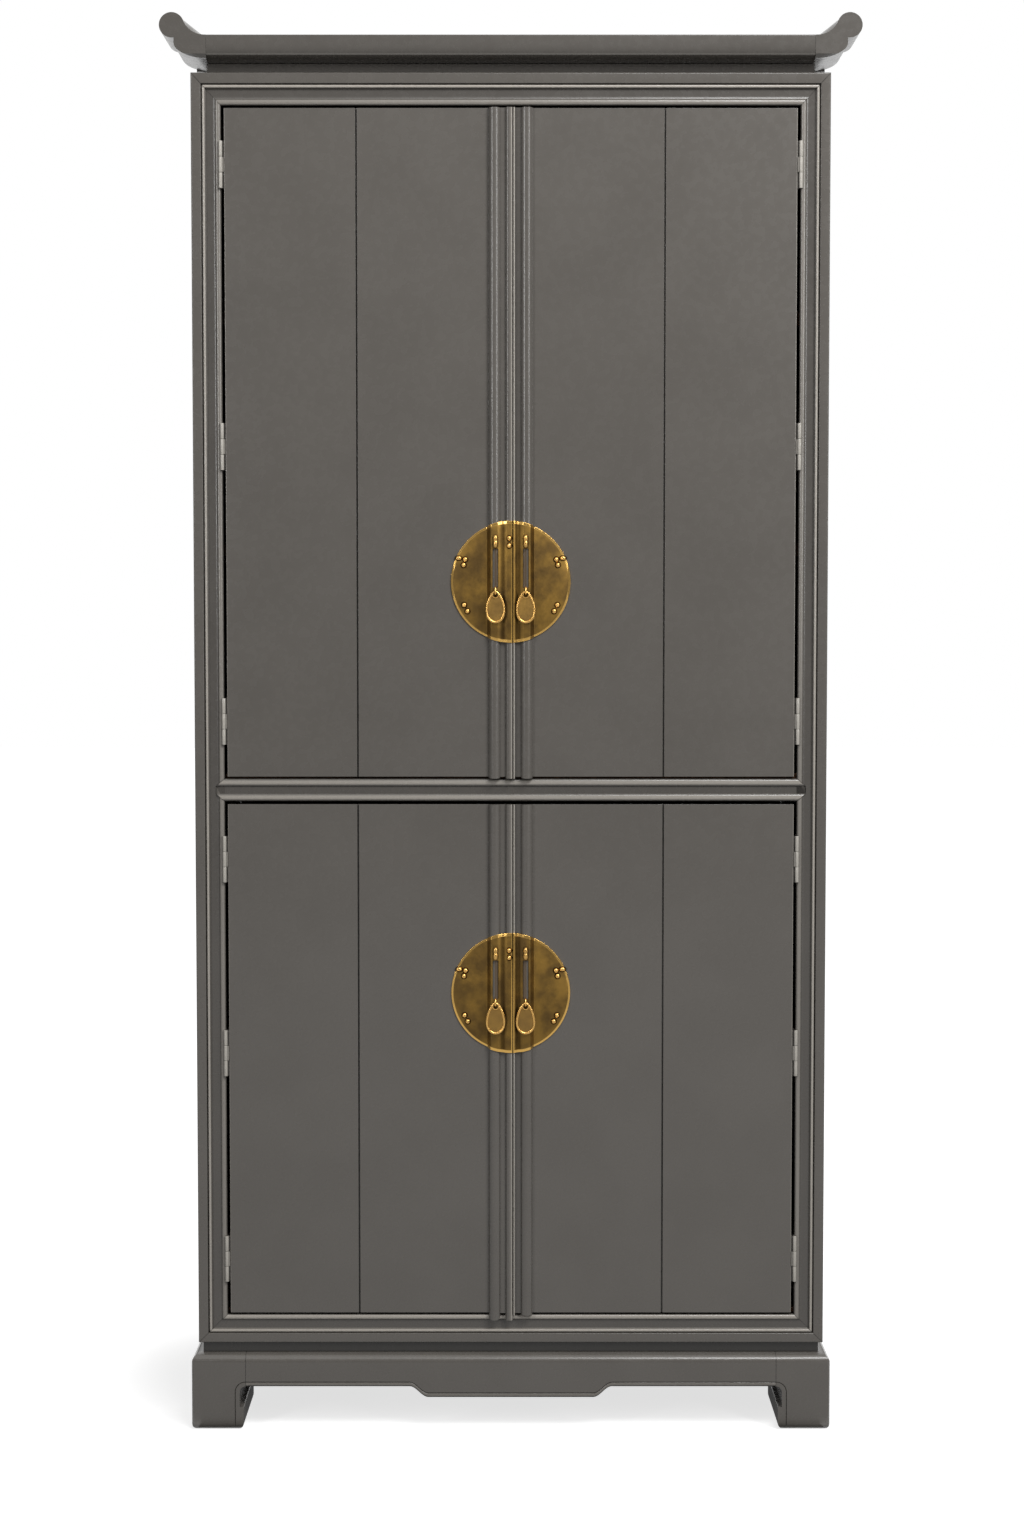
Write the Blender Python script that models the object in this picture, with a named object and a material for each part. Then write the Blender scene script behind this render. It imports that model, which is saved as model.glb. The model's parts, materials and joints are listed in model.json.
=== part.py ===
"""Two-tier lacquered cabinet with a scrolled roof board, a moulded face frame and split lock plates.

Metres, +Z up, the front faces -Y. The origin is on the floor, under the middle of the cabinet.
"""

import math

import bmesh
import bpy
from mathutils import Vector

# Clearance between pieces that are glued, screwed or laid on each other
SEAT = 0.0003

# Carcass box, and how far the base and the roof stand out from it or are set back
CARCASS_WIDTH = 0.9256
CARCASS_DEPTH = 0.486
CARCASS_HEIGHT = 1.8598
BASE_HEIGHT = 0.1195
BASE_PROUD = 0.010
BASE_NECK_HEIGHT = 0.0093
BASE_NECK_SETBACK = 0.0063
ROOF_NECK_HEIGHT = 0.0169
ROOF_NECK_SETBACK = 0.0212
ROOF_THICKNESS = 0.0323
ROOF_OVERHANG = 0.022
ROOF_CHAMFER = 0.0054
ROOF_TOP_EASE = 0.0015

# Scroll ends of the roof
ROOF_JOINT_SETBACK = 0.0253
SCROLL_REACH = 0.0671
SCROLL_RISE = 0.0318
SCROLL_HEAD_RADIUS = 0.018
SCROLL_NOTCH_INSET = 0.0209
SCROLL_NOTCH_DROP = 0.0078
SCROLL_TOP_LAND = 0.0025
SCROLL_DEPTH = 0.105
SCROLL_SCOOP = 0.025

# Boards of the carcass
BOARD_THICKNESS = 0.019
BACK_THICKNESS = 0.006
HOUSING_DEPTH = 0.006
DOOR_STOP_LIP = 0.006
SHELF_SETBACK = 0.020
UPPER_SHELF_COUNT = 2
LOWER_SHELF_COUNT = 1

# Face frame, a moulded profile from its outer edge to the opening
FRAME_THICKNESS = 0.022
STILE_WIDTH = 0.0431
TOP_RAIL = 0.0467
MIDDLE_RAIL = 0.0334
BOTTOM_RAIL = 0.0418
LOWER_OPENING = 0.7625
BAND_EASE = 0.0025
BAND_CHAMFER = 0.0010
QUIRK_WIDTH = 0.0014
QUIRK_DEPTH = 0.0036
BEAD_WIDTH = 0.0046
BEAD_CREST = 0.0005
FLAT_WIDTH = 0.0083
FLAT_DEPTH = 0.0045
COVE_WIDTH = 0.005
COVE_TOP = 0.0034
INNER_BEAD_WIDTH = 0.008
INNER_BEAD_CREST = 0.002
INNER_BEAD_EDGE = 0.006
MIDDLE_BEAD_WIDTH = 0.0115

# Doors
DOOR_THICKNESS = 0.020
DOOR_SETBACK = 0.001
DOOR_TOP_GAP = 0.004
DOOR_BOTTOM_GAP = 0.003
DOOR_HINGE_GAP = 0.0046
DOOR_EASE = 0.001
MEETING_LINE = 0.003
MEETING_GAP = 0.0016
GROOVE_WIDTH = 0.0022
GROOVE_DEPTH = 0.0015

# Reeded meeting strips
STRIP_BASE = 0.0025
REED_CREST = 0.0085
REED_WIDTH = 0.0170
LEFT_BEAD_WIDTH = 0.010
LEFT_RECESS = 0.0078
RIGHT_LIP_WIDTH = 0.0025
RIGHT_RECESS = 0.0088
LIP_CREST = 0.0075
UPPER_STRIP_OVERHANG = 0.0025
LOWER_LEFT_STRIP_OVERHANG = 0.010
LOWER_RIGHT_STRIP_OVERHANG = 0.0027
LONG_STRIP_END_ROUND = 0.006
SHORT_STRIP_END_ROUND = 0.0015

# Split lock plates, in sheet brass formed over the reeds
PLATE_RADIUS = 0.0873
PLATE_SHEET = 0.0015
PLATE_RISE_RUN = 0.0035
PLATE_DIP = 0.0045
UPPER_PLATE_ABOVE_DOOR_EDGE = 0.2849
LOWER_PLATE_BELOW_DOOR_EDGE = 0.2777
HARDWARE_INSET = 0.0018
SLOT_WIDTH = 0.0085
SLOT_TOP = 0.0482
SLOT_BOTTOM = 0.0084
LUG_WIDTH = 0.0082
LUG_HEIGHT = 0.0209
LUG_PROUD = 0.005

# Drop handles and the wire eyes that they hang on
DROP_WIDTH = 0.029
DROP_LENGTH = 0.0477
DROP_BELOW_CENTRE = 0.0129
DROP_TAPER = 0.22
DROP_THICKNESS = 0.0032
DROP_RIM = 0.0036
DROP_RECESS = 0.001
DROP_BAR = 0.003
DROP_HOLE = 0.0064
DROP_COLLAR = 0.0018
DROP_STANDOFF = 0.0015
EYE_WIRE_RADIUS = 0.0013

# Butt hinges
HINGE_LENGTH = 0.068
HINGE_INSET = 0.081
UPPER_MIDDLE_HINGE_RISE = -0.003
LOWER_MIDDLE_HINGE_RISE = 0.010
HINGE_AXIS_OUTBOARD = 0.005
HINGE_AXIS_PROUD = 0.0005
KNUCKLE_RADIUS = 0.0031
KNUCKLE_GAP = 0.0004
PIN_RADIUS = 0.0015
PIN_CLEARANCE = 0.0004
LEAF_THICKNESS = 0.0015
LEAF_DEPTH = 0.0175
LINK_THICKNESS = 0.002

# Base: aprons and bracket feet
APRON_THICKNESS = 0.030
APRON_EDGE = 0.0654
APRON_DROP = 0.0162
APRON_DROP_HALF_WIDTH = 0.122
APRON_SWEEP = 0.028
BASE_TOP_ROUND = 0.014
EDGE_BEAD = 0.0066
EDGE_BEAD_GROOVE = 0.0012
EDGE_BEAD_EASE = 0.0008
FOOT_FACE = 0.0712
FOOT_JOINT = 0.0798
FOOT_TOE = 0.0059
FOOT_STEP = 0.0346
FOOT_SIDE = 0.150
FOOT_CORNER = 0.008
FOOT_STEP_EASE = 0.002
FOOT_BEAD_RISE = 0.006

# Facets: steps in each quarter of a moulding, sides of each round, and the angle that stays a sharp edge
ARC_STEPS = 5
PLATE_SIDES = 64
KNUCKLE_SIDES = 14
KNUCKLE_SEAT_SIDES = 16
PIN_BORE_SIDES = 12
LUG_END_STEPS = 8
DROP_STEPS = 32
DROP_HOLE_SIDES = 16
EYE_BEND_STEPS = 10
SHARP_EDGE_DEG = 35
TINY = 1e-7

# Finishes: linear colour, roughness and metallic value
GREY_LACQUER = ((0.110, 0.100, 0.090), 0.35, 0.0)
WALNUT_VENEER = ((0.120, 0.065, 0.035), 0.5, 0.0)
ANTIQUE_BRASS = ((0.250, 0.160, 0.055), 0.35, 1.0)

# Levels that follow from the sizes above
BACK_Y = (CARCASS_DEPTH + ROOF_OVERHANG) / 2
FACE_Y = BACK_Y - CARCASS_DEPTH
FRAME_BACK_Y = FACE_Y + FRAME_THICKNESS
BOARD_BACK_Y = BACK_Y - BACK_THICKNESS - SEAT
BASE_Y = FACE_Y - BASE_PROUD
ROOF_Y = FACE_Y - ROOF_OVERHANG
DOOR_Y = FACE_Y + DOOR_SETBACK
STRIP_Y = DOOR_Y - SEAT
HALF_WIDTH = CARCASS_WIDTH / 2
SIDE_INNER = HALF_WIDTH - BOARD_THICKNESS
OPENING_HALF = HALF_WIDTH - STILE_WIDTH
DOOR_OUTER = OPENING_HALF - DOOR_HINGE_GAP
BASE_HALF = HALF_WIDTH + BASE_PROUD
CARCASS_Z = BASE_HEIGHT + BASE_NECK_HEIGHT
CARCASS_TOP = CARCASS_Z + CARCASS_HEIGHT
ROOF_Z = CARCASS_TOP + ROOF_NECK_HEIGHT
ROOF_TOP = ROOF_Z + ROOF_THICKNESS
LOWER_OPENING_Z = CARCASS_Z + BOTTOM_RAIL
MIDDLE_RAIL_Z = LOWER_OPENING_Z + LOWER_OPENING
UPPER_OPENING_Z = MIDDLE_RAIL_Z + MIDDLE_RAIL
UPPER_OPENING_TOP = CARCASS_TOP - TOP_RAIL
BOTTOM_BOARD_TOP = LOWER_OPENING_Z + DOOR_STOP_LIP
MIDDLE_BOARD_TOP = UPPER_OPENING_Z + DOOR_STOP_LIP
MIDDLE_BOARD_Z = MIDDLE_BOARD_TOP - BOARD_THICKNESS
TOP_BOARD_Z = CARCASS_TOP - BOARD_THICKNESS
HINGE_X = DOOR_OUTER + HINGE_AXIS_OUTBOARD
HINGE_Y = DOOR_Y - HINGE_AXIS_PROUD
DROP_AXIS_BELOW_CENTRE = DROP_BELOW_CENTRE + DROP_BAR / 2
DROP_HOLE_BELOW_AXIS = (DROP_BAR + DROP_HOLE) / 2
EYE_RADIUS = math.hypot(DROP_BAR, DROP_THICKNESS) / 2 + SEAT + EYE_WIRE_RADIUS
PLATE_FRONT_Y = STRIP_Y - REED_CREST - SEAT - PLATE_SHEET
DROP_AXIS_Y = PLATE_FRONT_Y - DROP_STANDOFF - DROP_THICKNESS / 2
SIDES = {"left": -1, "right": 1}


def clear_scene():
    """Remove what the open file holds."""
    for leftover in list(bpy.data.objects):
        bpy.data.objects.remove(leftover, do_unlink=True)


def finish(name, colour, roughness, metallic):
    """A Principled material, with its colour in linear values."""
    material = bpy.data.materials.new(name)
    material.use_nodes = True
    shader = material.node_tree.nodes["Principled BSDF"]
    shader.inputs["Base Color"].default_value = (*colour, 1.0)
    shader.inputs["Roughness"].default_value = roughness
    shader.inputs["Metallic"].default_value = metallic
    return material


def quarter(start, end, upright):
    """A quarter of an ellipse; upright leaves its start along the second coordinate."""
    (a0, b0), (a1, b1) = start, end
    points = []
    for step in range(ARC_STEPS + 1):
        turn = math.pi / 2 * step / ARC_STEPS
        early, late = 1 - math.cos(turn), math.sin(turn)
        share_a, share_b = (early, late) if upright else (late, early)
        points.append((a0 + (a1 - a0) * share_a, b0 + (b1 - b0) * share_b))
    return points


def crown(a0, base0, a1, base1, crest):
    """A rounded ridge from (a0, base0) over its crest, half way along, to (a1, base1)."""
    middle = (a0 + a1) / 2
    rise = quarter((a0, base0), (middle, crest), True)
    return rise + quarter((middle, crest), (a1, base1), False)


def arc(centre, radius, first, last, steps):
    """Points on a circle from one angle to another, in radians."""
    turns = [first + (last - first) * step / steps for step in range(steps + 1)]
    return [(centre[0] + radius * math.cos(t), centre[1] + radius * math.sin(t)) for t in turns]


def circle(centre, radius, sides):
    """Points once round a circle."""
    return arc(centre, radius, 0, math.tau, sides)[:-1]


def joined(*runs):
    """One outline from runs of points, without the doubled points where the runs meet."""
    points = []
    for run in runs:
        for point in run:
            if not points or math.dist(point, points[-1]) > TINY:
                points.append(point)
    if math.dist(points[0], points[-1]) < TINY:
        points.pop()
    return points


def linked(name, body, material):
    """An object from a finished bmesh, shaded smooth over its gentle edges."""
    bmesh.ops.recalc_face_normals(body, faces=body.faces)
    mesh = bpy.data.meshes.new(name)
    body.to_mesh(mesh)
    body.free()
    mesh.shade_smooth()
    mesh.set_sharp_from_angle(angle=math.radians(SHARP_EDGE_DEG))
    piece = bpy.data.objects.new(name, mesh)
    bpy.context.scene.collection.objects.link(piece)
    if material:
        mesh.materials.append(material)
    return piece


def loft(rings):
    """A closed bmesh through rings of points that match one to one, capped at both ends."""
    body = bmesh.new()
    loops = [[body.verts.new(point) for point in ring] for ring in rings]
    count = len(loops[0])
    for low, high in zip(loops, loops[1:]):
        for i in range(count):
            j = (i + 1) % count
            body.faces.new((low[i], low[j], high[j], high[i]))
    body.faces.new(list(reversed(loops[0])))
    body.faces.new(loops[-1])
    return body


def along(axis, distance, a, b):
    """The point at a distance along an axis, with its two other coordinates in order."""
    return {"X": (distance, a, b), "Y": (a, distance, b), "Z": (a, b, distance)}[axis]


def prism_body(outline, axis, start, end):
    """A bmesh of an outline carried along an axis."""
    return loft([[along(axis, d, a, b) for a, b in outline] for d in (start, end)])


def prism(name, outline, axis, start, end, material=None):
    """An object of an outline carried along an axis."""
    return linked(name, prism_body(outline, axis, start, end), material)


def rectangle(a0, b0, a1, b1):
    """The outline of a box."""
    return [(a0, b0), (a1, b0), (a1, b1), (a0, b1)]


def box(name, low, high, material=None):
    """A plain board between two corners."""
    return prism(name, rectangle(low[0], low[1], high[0], high[1]), "Z", low[2], high[2], material)


def sliced(body, point, outward):
    """Cut away what lies beyond a plane and close the cut."""
    everything = list(body.verts) + list(body.edges) + list(body.faces)
    cut = bmesh.ops.bisect_plane(
        body, geom=everything, plane_co=point, plane_no=outward, clear_outer=True
    )
    rim = [part for part in cut["geom_cut"] if isinstance(part, bmesh.types.BMEdge)]
    bmesh.ops.edgeloop_fill(body, edges=rim)


def combine(target, operation, tool):
    """Join a helper to a piece, cut it away or keep what both share; the helper isn't a piece itself."""
    tool.hide_render = True
    tool.display_type = "WIRE"
    modifier = target.modifiers.new(tool.name, "BOOLEAN")
    modifier.operation = operation
    modifier.solver = "EXACT"
    modifier.object = tool


def pivot(name, place, parent=None):
    """An empty on a joint's axis, which carries the pieces that turn about it."""
    empty = bpy.data.objects.new(name, None)
    bpy.context.scene.collection.objects.link(empty)
    empty.parent = parent
    empty.location = Vector(place) - (parent.matrix_world.translation if parent else Vector())
    bpy.context.view_layer.update()
    return empty


def hang(piece, empty):
    """Parent a piece, modelled in place, to the empty on its joint's axis."""
    piece.parent = empty
    piece.location = -empty.matrix_world.translation


def frame_profile(width):
    """(distance from the outer edge, depth behind the face) of a frame member, scaled to its width."""
    bead_end = STILE_WIDTH - INNER_BEAD_WIDTH - COVE_WIDTH - FLAT_WIDTH - QUIRK_WIDTH
    bead_start = bead_end - BEAD_WIDTH
    band_end = bead_start - QUIRK_WIDTH
    flat_start = bead_end + QUIRK_WIDTH
    flat_end = flat_start + FLAT_WIDTH
    inner_start = STILE_WIDTH - INNER_BEAD_WIDTH
    outline = joined(
        [(0, FRAME_THICKNESS)],
        quarter((0, BAND_EASE), (BAND_EASE, 0), True),
        [(band_end - BAND_CHAMFER, 0), (band_end, BAND_CHAMFER)],
        [(band_end + QUIRK_WIDTH / 2, QUIRK_DEPTH)],
        crown(bead_start, QUIRK_DEPTH / 2, bead_end, QUIRK_DEPTH / 2, BEAD_CREST),
        [(flat_start, FLAT_DEPTH), (flat_end, FLAT_DEPTH)],
        quarter((flat_end, FLAT_DEPTH), (inner_start, COVE_TOP), False),
        crown(inner_start, COVE_TOP, STILE_WIDTH, INNER_BEAD_EDGE, INNER_BEAD_CREST),
        [(STILE_WIDTH, FRAME_THICKNESS)],
    )
    return [(across * width / STILE_WIDTH, depth) for across, depth in outline]


def middle_profile():
    """(height above its lower edge, depth behind the face) of the rail between the doors."""
    far = MIDDLE_RAIL - MIDDLE_BEAD_WIDTH
    return joined(
        [(0, FRAME_THICKNESS)],
        crown(0, INNER_BEAD_EDGE, MIDDLE_BEAD_WIDTH, FLAT_DEPTH, INNER_BEAD_CREST),
        crown(far, FLAT_DEPTH, MIDDLE_RAIL, INNER_BEAD_EDGE, INNER_BEAD_CREST),
        [(MIDDLE_RAIL, FRAME_THICKNESS)],
    )


def hinge_heights(tier):
    """The middles of a door's three hinges."""
    low = tier["door_z"] + HINGE_INSET
    high = tier["door_top"] - HINGE_INSET
    return [low, (low + high) / 2 + tier["middle_hinge_rise"], high]


TIERS = {
    "upper": {
        "door_z": UPPER_OPENING_Z + DOOR_BOTTOM_GAP,
        "door_top": UPPER_OPENING_TOP - DOOR_TOP_GAP,
        "middle_hinge_rise": UPPER_MIDDLE_HINGE_RISE,
        "plate_z": UPPER_OPENING_Z + DOOR_BOTTOM_GAP + UPPER_PLATE_ABOVE_DOOR_EDGE,
        "overhang": {"left": UPPER_STRIP_OVERHANG, "right": UPPER_STRIP_OVERHANG},
        "end_round": {"left": SHORT_STRIP_END_ROUND, "right": SHORT_STRIP_END_ROUND},
    },
    "lower": {
        "door_z": LOWER_OPENING_Z + DOOR_BOTTOM_GAP,
        "door_top": MIDDLE_RAIL_Z - DOOR_TOP_GAP,
        "middle_hinge_rise": LOWER_MIDDLE_HINGE_RISE,
        "plate_z": MIDDLE_RAIL_Z - DOOR_TOP_GAP - LOWER_PLATE_BELOW_DOOR_EDGE,
        "overhang": {"left": LOWER_LEFT_STRIP_OVERHANG, "right": LOWER_RIGHT_STRIP_OVERHANG},
        "end_round": {"left": LONG_STRIP_END_ROUND, "right": SHORT_STRIP_END_ROUND},
    },
}


def build_face_frame(lacquer):
    """Two stiles and three rails, mitred at the corners, with the middle rail let into the stiles."""
    for side, sign in SIDES.items():
        rings = [[], []]
        for across, depth in frame_profile(STILE_WIDTH):
            x = sign * (HALF_WIDTH - across)
            low = CARCASS_Z + across * BOTTOM_RAIL / STILE_WIDTH + SEAT
            high = CARCASS_TOP - across * TOP_RAIL / STILE_WIDTH - SEAT
            rings[0].append((x, FACE_Y + depth, low))
            rings[1].append((x, FACE_Y + depth, high))
        stile = linked(f"{side}_stile", loft(rings), lacquer)
        combine(stile, "DIFFERENCE", middle_rail_notch(side, sign))
        for tier_name, tier in TIERS.items():
            for order, height in enumerate(hinge_heights(tier)):
                radius = KNUCKLE_RADIUS + KNUCKLE_GAP
                room = circle((sign * HINGE_X, HINGE_Y), radius, KNUCKLE_SEAT_SIDES)
                reach = HINGE_LENGTH / 2 + SEAT
                name = f"{side}_{tier_name}_hinge_seat_{order}"
                combine(stile, "DIFFERENCE", prism(name, room, "Z", height - reach, height + reach))
    for name, width, edge, inward in (
        ("top_rail", TOP_RAIL, CARCASS_TOP, -1),
        ("bottom_rail", BOTTOM_RAIL, CARCASS_Z, 1),
    ):
        rings = [[], []]
        for across, depth in frame_profile(width):
            reach = HALF_WIDTH - across * STILE_WIDTH / width
            z = edge + inward * across
            rings[0].append((-reach, FACE_Y + depth, z))
            rings[1].append((reach, FACE_Y + depth, z))
        linked(name, loft(rings), lacquer)
    build_middle_rail(lacquer)


def middle_rail_notch(side, sign):
    """The bird's mouth in a stile that the mitred end of the middle rail fits into."""
    depth = COVE_WIDTH + INNER_BEAD_WIDTH
    mouth = OPENING_HALF - depth
    spread = MIDDLE_BEAD_WIDTH
    low, high = MIDDLE_RAIL_Z - SEAT, UPPER_OPENING_Z + SEAT
    throat = OPENING_HALF + depth + SEAT
    outline = [
        (sign * mouth, low - spread),
        (sign * throat, low + spread),
        (sign * throat, high - spread),
        (sign * mouth, high + spread),
    ]
    front, back = FACE_Y - FRAME_THICKNESS, FRAME_BACK_Y + FRAME_THICKNESS
    return prism(f"{side}_middle_rail_notch", outline, "Y", front, back)


def build_middle_rail(lacquer):
    """The rail between the upper and the lower doors, with pointed ends that mitre into the stiles."""
    depth = COVE_WIDTH + INNER_BEAD_WIDTH
    outline = [(FACE_Y + deep, MIDDLE_RAIL_Z + up) for up, deep in middle_profile()]
    reach = OPENING_HALF + depth - SEAT
    body = prism_body(outline, "X", -reach, reach)
    for sign in SIDES.values():
        for edge, up in ((MIDDLE_RAIL_Z, -1), (UPPER_OPENING_Z, 1)):
            outward = Vector((sign * MIDDLE_BEAD_WIDTH, 0, up * depth))
            sliced(body, Vector((sign * (OPENING_HALF - SEAT), 0, edge)), outward)
    linked("middle_rail", body, lacquer)


def shelf_levels():
    """The undersides of the shelves, which share each part of the cabinet evenly."""
    levels = {}
    for count, names, low, high in (
        (UPPER_SHELF_COUNT, "upper_shelf", MIDDLE_BOARD_TOP, TOP_BOARD_Z),
        (LOWER_SHELF_COUNT, "lower_shelf", BOTTOM_BOARD_TOP, MIDDLE_BOARD_Z),
    ):
        bay = (high - low - count * BOARD_THICKNESS) / (count + 1)
        for order in range(count):
            levels[f"{names}_{order + 1}"] = low + bay + order * (bay + BOARD_THICKNESS)
    return levels


def build_carcass(lacquer, wood):
    """Sides with housings, the boards and shelves that lie in them, and the back panel."""
    fixed = {
        "bottom_board": BOTTOM_BOARD_TOP - BOARD_THICKNESS,
        "middle_board": MIDDLE_BOARD_Z,
        "top_board": TOP_BOARD_Z,
    }
    shelves = shelf_levels()
    housed = sorted(z for z in (*fixed.values(), *shelves.values()) if z < TOP_BOARD_Z)
    floor = CARCASS_Z + SEAT
    for side, sign in SIDES.items():
        deep = SIDE_INNER + HOUSING_DEPTH
        inner = [(SIDE_INNER, floor)]
        for z in housed:
            low, high = z - SEAT, z + BOARD_THICKNESS + SEAT
            inner += [(SIDE_INNER, low), (deep, low), (deep, high), (SIDE_INNER, high)]
        rebate = TOP_BOARD_Z - SEAT
        inner += [(SIDE_INNER, rebate), (deep, rebate), (deep, CARCASS_TOP)]
        outline = [(HALF_WIDTH, floor), *inner, (HALF_WIDTH, CARCASS_TOP)]
        mirrored = [(sign * x, z) for x, z in outline]
        prism(f"{side}_side", mirrored, "Y", FRAME_BACK_Y + SEAT, BACK_Y, lacquer)
    reach = SIDE_INNER + HOUSING_DEPTH - SEAT
    for name, z in fixed.items():
        low = (-reach, FRAME_BACK_Y + SEAT, z)
        box(name, low, (reach, BOARD_BACK_Y, z + BOARD_THICKNESS), wood)
    for name, z in shelves.items():
        low = (-reach, FRAME_BACK_Y + SHELF_SETBACK, z)
        box(name, low, (reach, BOARD_BACK_Y, z + BOARD_THICKNESS), wood)
    width = SIDE_INNER - SEAT
    low = (-width, BACK_Y - BACK_THICKNESS, floor)
    box("back_panel", low, (width, BACK_Y, CARCASS_TOP), wood)


def scroll_outline(hollowed):
    """(distance from the middle, height) of the right scroll end, with a hollow or a ramp up to its head."""
    joint = HALF_WIDTH - ROOF_JOINT_SETBACK + SEAT
    tip = joint + SCROLL_REACH
    land = (joint + SCROLL_TOP_LAND, ROOF_TOP)
    head = (tip - SCROLL_HEAD_RADIUS, ROOF_TOP + SCROLL_RISE - SCROLL_HEAD_RADIUS)
    run, rise = head[0] - land[0], head[1] - land[1]
    steps = 2 * ARC_STEPS
    if hollowed:
        # The hollow touches the roof's top and the head, which fixes its radius
        radius = (run**2 - SCROLL_HEAD_RADIUS**2 + rise**2) / (2 * (SCROLL_HEAD_RADIUS + rise))
        lean = math.atan2(rise - radius, run)
        ascent = arc((land[0], ROOF_TOP + radius), radius, -math.pi / 2, lean, steps)
        head_turn = lean + math.pi
    else:
        # The ramp is the straight line from the land that touches the head from above
        head_turn = math.atan2(rise, run) + math.pi - math.acos(SCROLL_HEAD_RADIUS / math.hypot(run, rise))
        end = arc(head, SCROLL_HEAD_RADIUS, head_turn, head_turn, 1)[0]
        shares = [step / steps for step in range(steps + 1)]
        ascent = [(land[0] + (end[0] - land[0]) * s, land[1] + (end[1] - land[1]) * s) for s in shares]
    notch = tip - SCROLL_NOTCH_INSET
    notch_turn = -math.acos((notch - head[0]) / SCROLL_HEAD_RADIUS)
    notch_z = head[1] + SCROLL_HEAD_RADIUS * math.sin(notch_turn)
    knee = (notch, notch_z - SCROLL_NOTCH_DROP)
    return joined(
        [(joint, ROOF_TOP)],
        ascent,
        arc(head, SCROLL_HEAD_RADIUS, head_turn, notch_turn, 6 * ARC_STEPS),
        quarter(knee, (joint, ROOF_Z), True),
    )


def build_roof(lacquer):
    """Recessed neck, roof board notched at its front corners, and the scroll ends that sit in the notches."""
    neck = HALF_WIDTH - ROOF_NECK_SETBACK
    low = (-neck, FACE_Y + ROOF_NECK_SETBACK, CARCASS_TOP + SEAT)
    box("roof_neck_board", low, (neck, BACK_Y, ROOF_Z - SEAT), lacquer)
    board = HALF_WIDTH - ROOF_JOINT_SETBACK
    notch = ROOF_Y + SCROLL_DEPTH + SEAT
    right = [(board, ROOF_Y), (board, notch), (HALF_WIDTH, notch), (HALF_WIDTH, BACK_Y)]
    plan = right + [(-x, y) for x, y in reversed(right)]
    under_edge = Vector((0, ROOF_Y, ROOF_Z + ROOF_CHAMFER))
    top_edge = Vector((0, ROOF_Y, ROOF_TOP - ROOF_TOP_EASE))
    roof = prism_body(plan, "Z", ROOF_Z, ROOF_TOP)
    sliced(roof, under_edge, Vector((0, -1, -1)))
    sliced(roof, top_edge, Vector((0, -1, 1)))
    linked("roof_board", roof, lacquer)
    stations = [(0, True), (SCROLL_SCOOP, False), (SCROLL_DEPTH, False)]
    for name, sign in SIDES.items():
        rings = []
        for deep, hollowed in stations:
            rings.append([(sign * x, ROOF_Y + deep, z) for x, z in scroll_outline(hollowed)])
        scroll = loft(rings)
        sliced(scroll, under_edge, Vector((0, -1, -1)))
        linked(f"{name}_scroll_end", scroll, lacquer)


def foot_outline(face, top_round):
    """(distance in from the outer edge, height) of a bracket foot whose face has this width."""
    toe, joint = face + FOOT_TOE, face + FOOT_JOINT - FOOT_FACE
    hollow = joint - face
    return joined(
        quarter((0, FOOT_CORNER), (FOOT_CORNER, 0), True),
        quarter((toe - FOOT_CORNER, 0), (toe, FOOT_CORNER), False),
        quarter((toe, FOOT_STEP - FOOT_STEP_EASE), (toe - FOOT_STEP_EASE, FOOT_STEP), True),
        [(face, FOOT_STEP)],
        quarter((face, APRON_EDGE - hollow), (joint, APRON_EDGE), True),
        [(joint, BASE_HEIGHT)],
        quarter((top_round, BASE_HEIGHT), (0, BASE_HEIGHT - top_round), False),
    )


def foot_lines(face):
    """Paths of a foot's incised lines: one down its face, and one that bends into the apron's bead line."""
    line, joint = face - EDGE_BEAD, face + FOOT_JOINT - FOOT_FACE
    bead = APRON_EDGE + EDGE_BEAD
    bend = quarter((line, bead - FOOT_BEAD_RISE), (joint, bead), True)
    return {
        "upright": [(line, -EDGE_BEAD_GROOVE), (line, BASE_HEIGHT)],
        "bend": [*bend, (joint + EDGE_BEAD_GROOVE, bead)],
    }


def foot_faces(end, sign, edge, inward):
    """The faces of a foot that carry incised lines: their width, and where a point on each lies."""

    def on_side(a, deep, z):
        return (sign * (BASE_HALF - deep), edge + inward * a, z)

    def on_front(a, deep, z):
        return (sign * (BASE_HALF - a), edge + inward * deep, z)

    faces = {"side": (FOOT_SIDE, on_side)}
    if end == "front":
        faces["front"] = (FOOT_FACE, on_front)
    return faces


def incised_line(name, path, place):
    """A V-shaped cutter along a path of (distance in from the corner, height) on a face."""
    deep = EDGE_BEAD_GROOVE
    rings = []
    for i, (a, z) in enumerate(path):
        before, after = path[max(i - 1, 0)], path[min(i + 1, len(path) - 1)]
        run = math.dist(before, after)
        across = deep * (before[1] - after[1]) / run
        up = deep * (after[0] - before[0]) / run
        rings.append([place(a + across, -deep, z + up), place(a - across, -deep, z - up), place(a, deep, z)])
    return linked(name, loft(rings), None)


def apron_section(edge):
    """(depth behind the face, height) of an apron: edge bead, groove and rounded top."""
    groove = edge + EDGE_BEAD
    return joined(
        [(APRON_THICKNESS, edge)],
        quarter((EDGE_BEAD_EASE, edge), (0, edge + EDGE_BEAD_EASE), False),
        [(0, groove - EDGE_BEAD_GROOVE / 2), (EDGE_BEAD_GROOVE, groove)],
        [(0, groove + EDGE_BEAD_GROOVE / 2)],
        quarter((0, BASE_HEIGHT - BASE_TOP_ROUND), (BASE_TOP_ROUND, BASE_HEIGHT), True),
        [(APRON_THICKNESS, BASE_HEIGHT)],
    )


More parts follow.
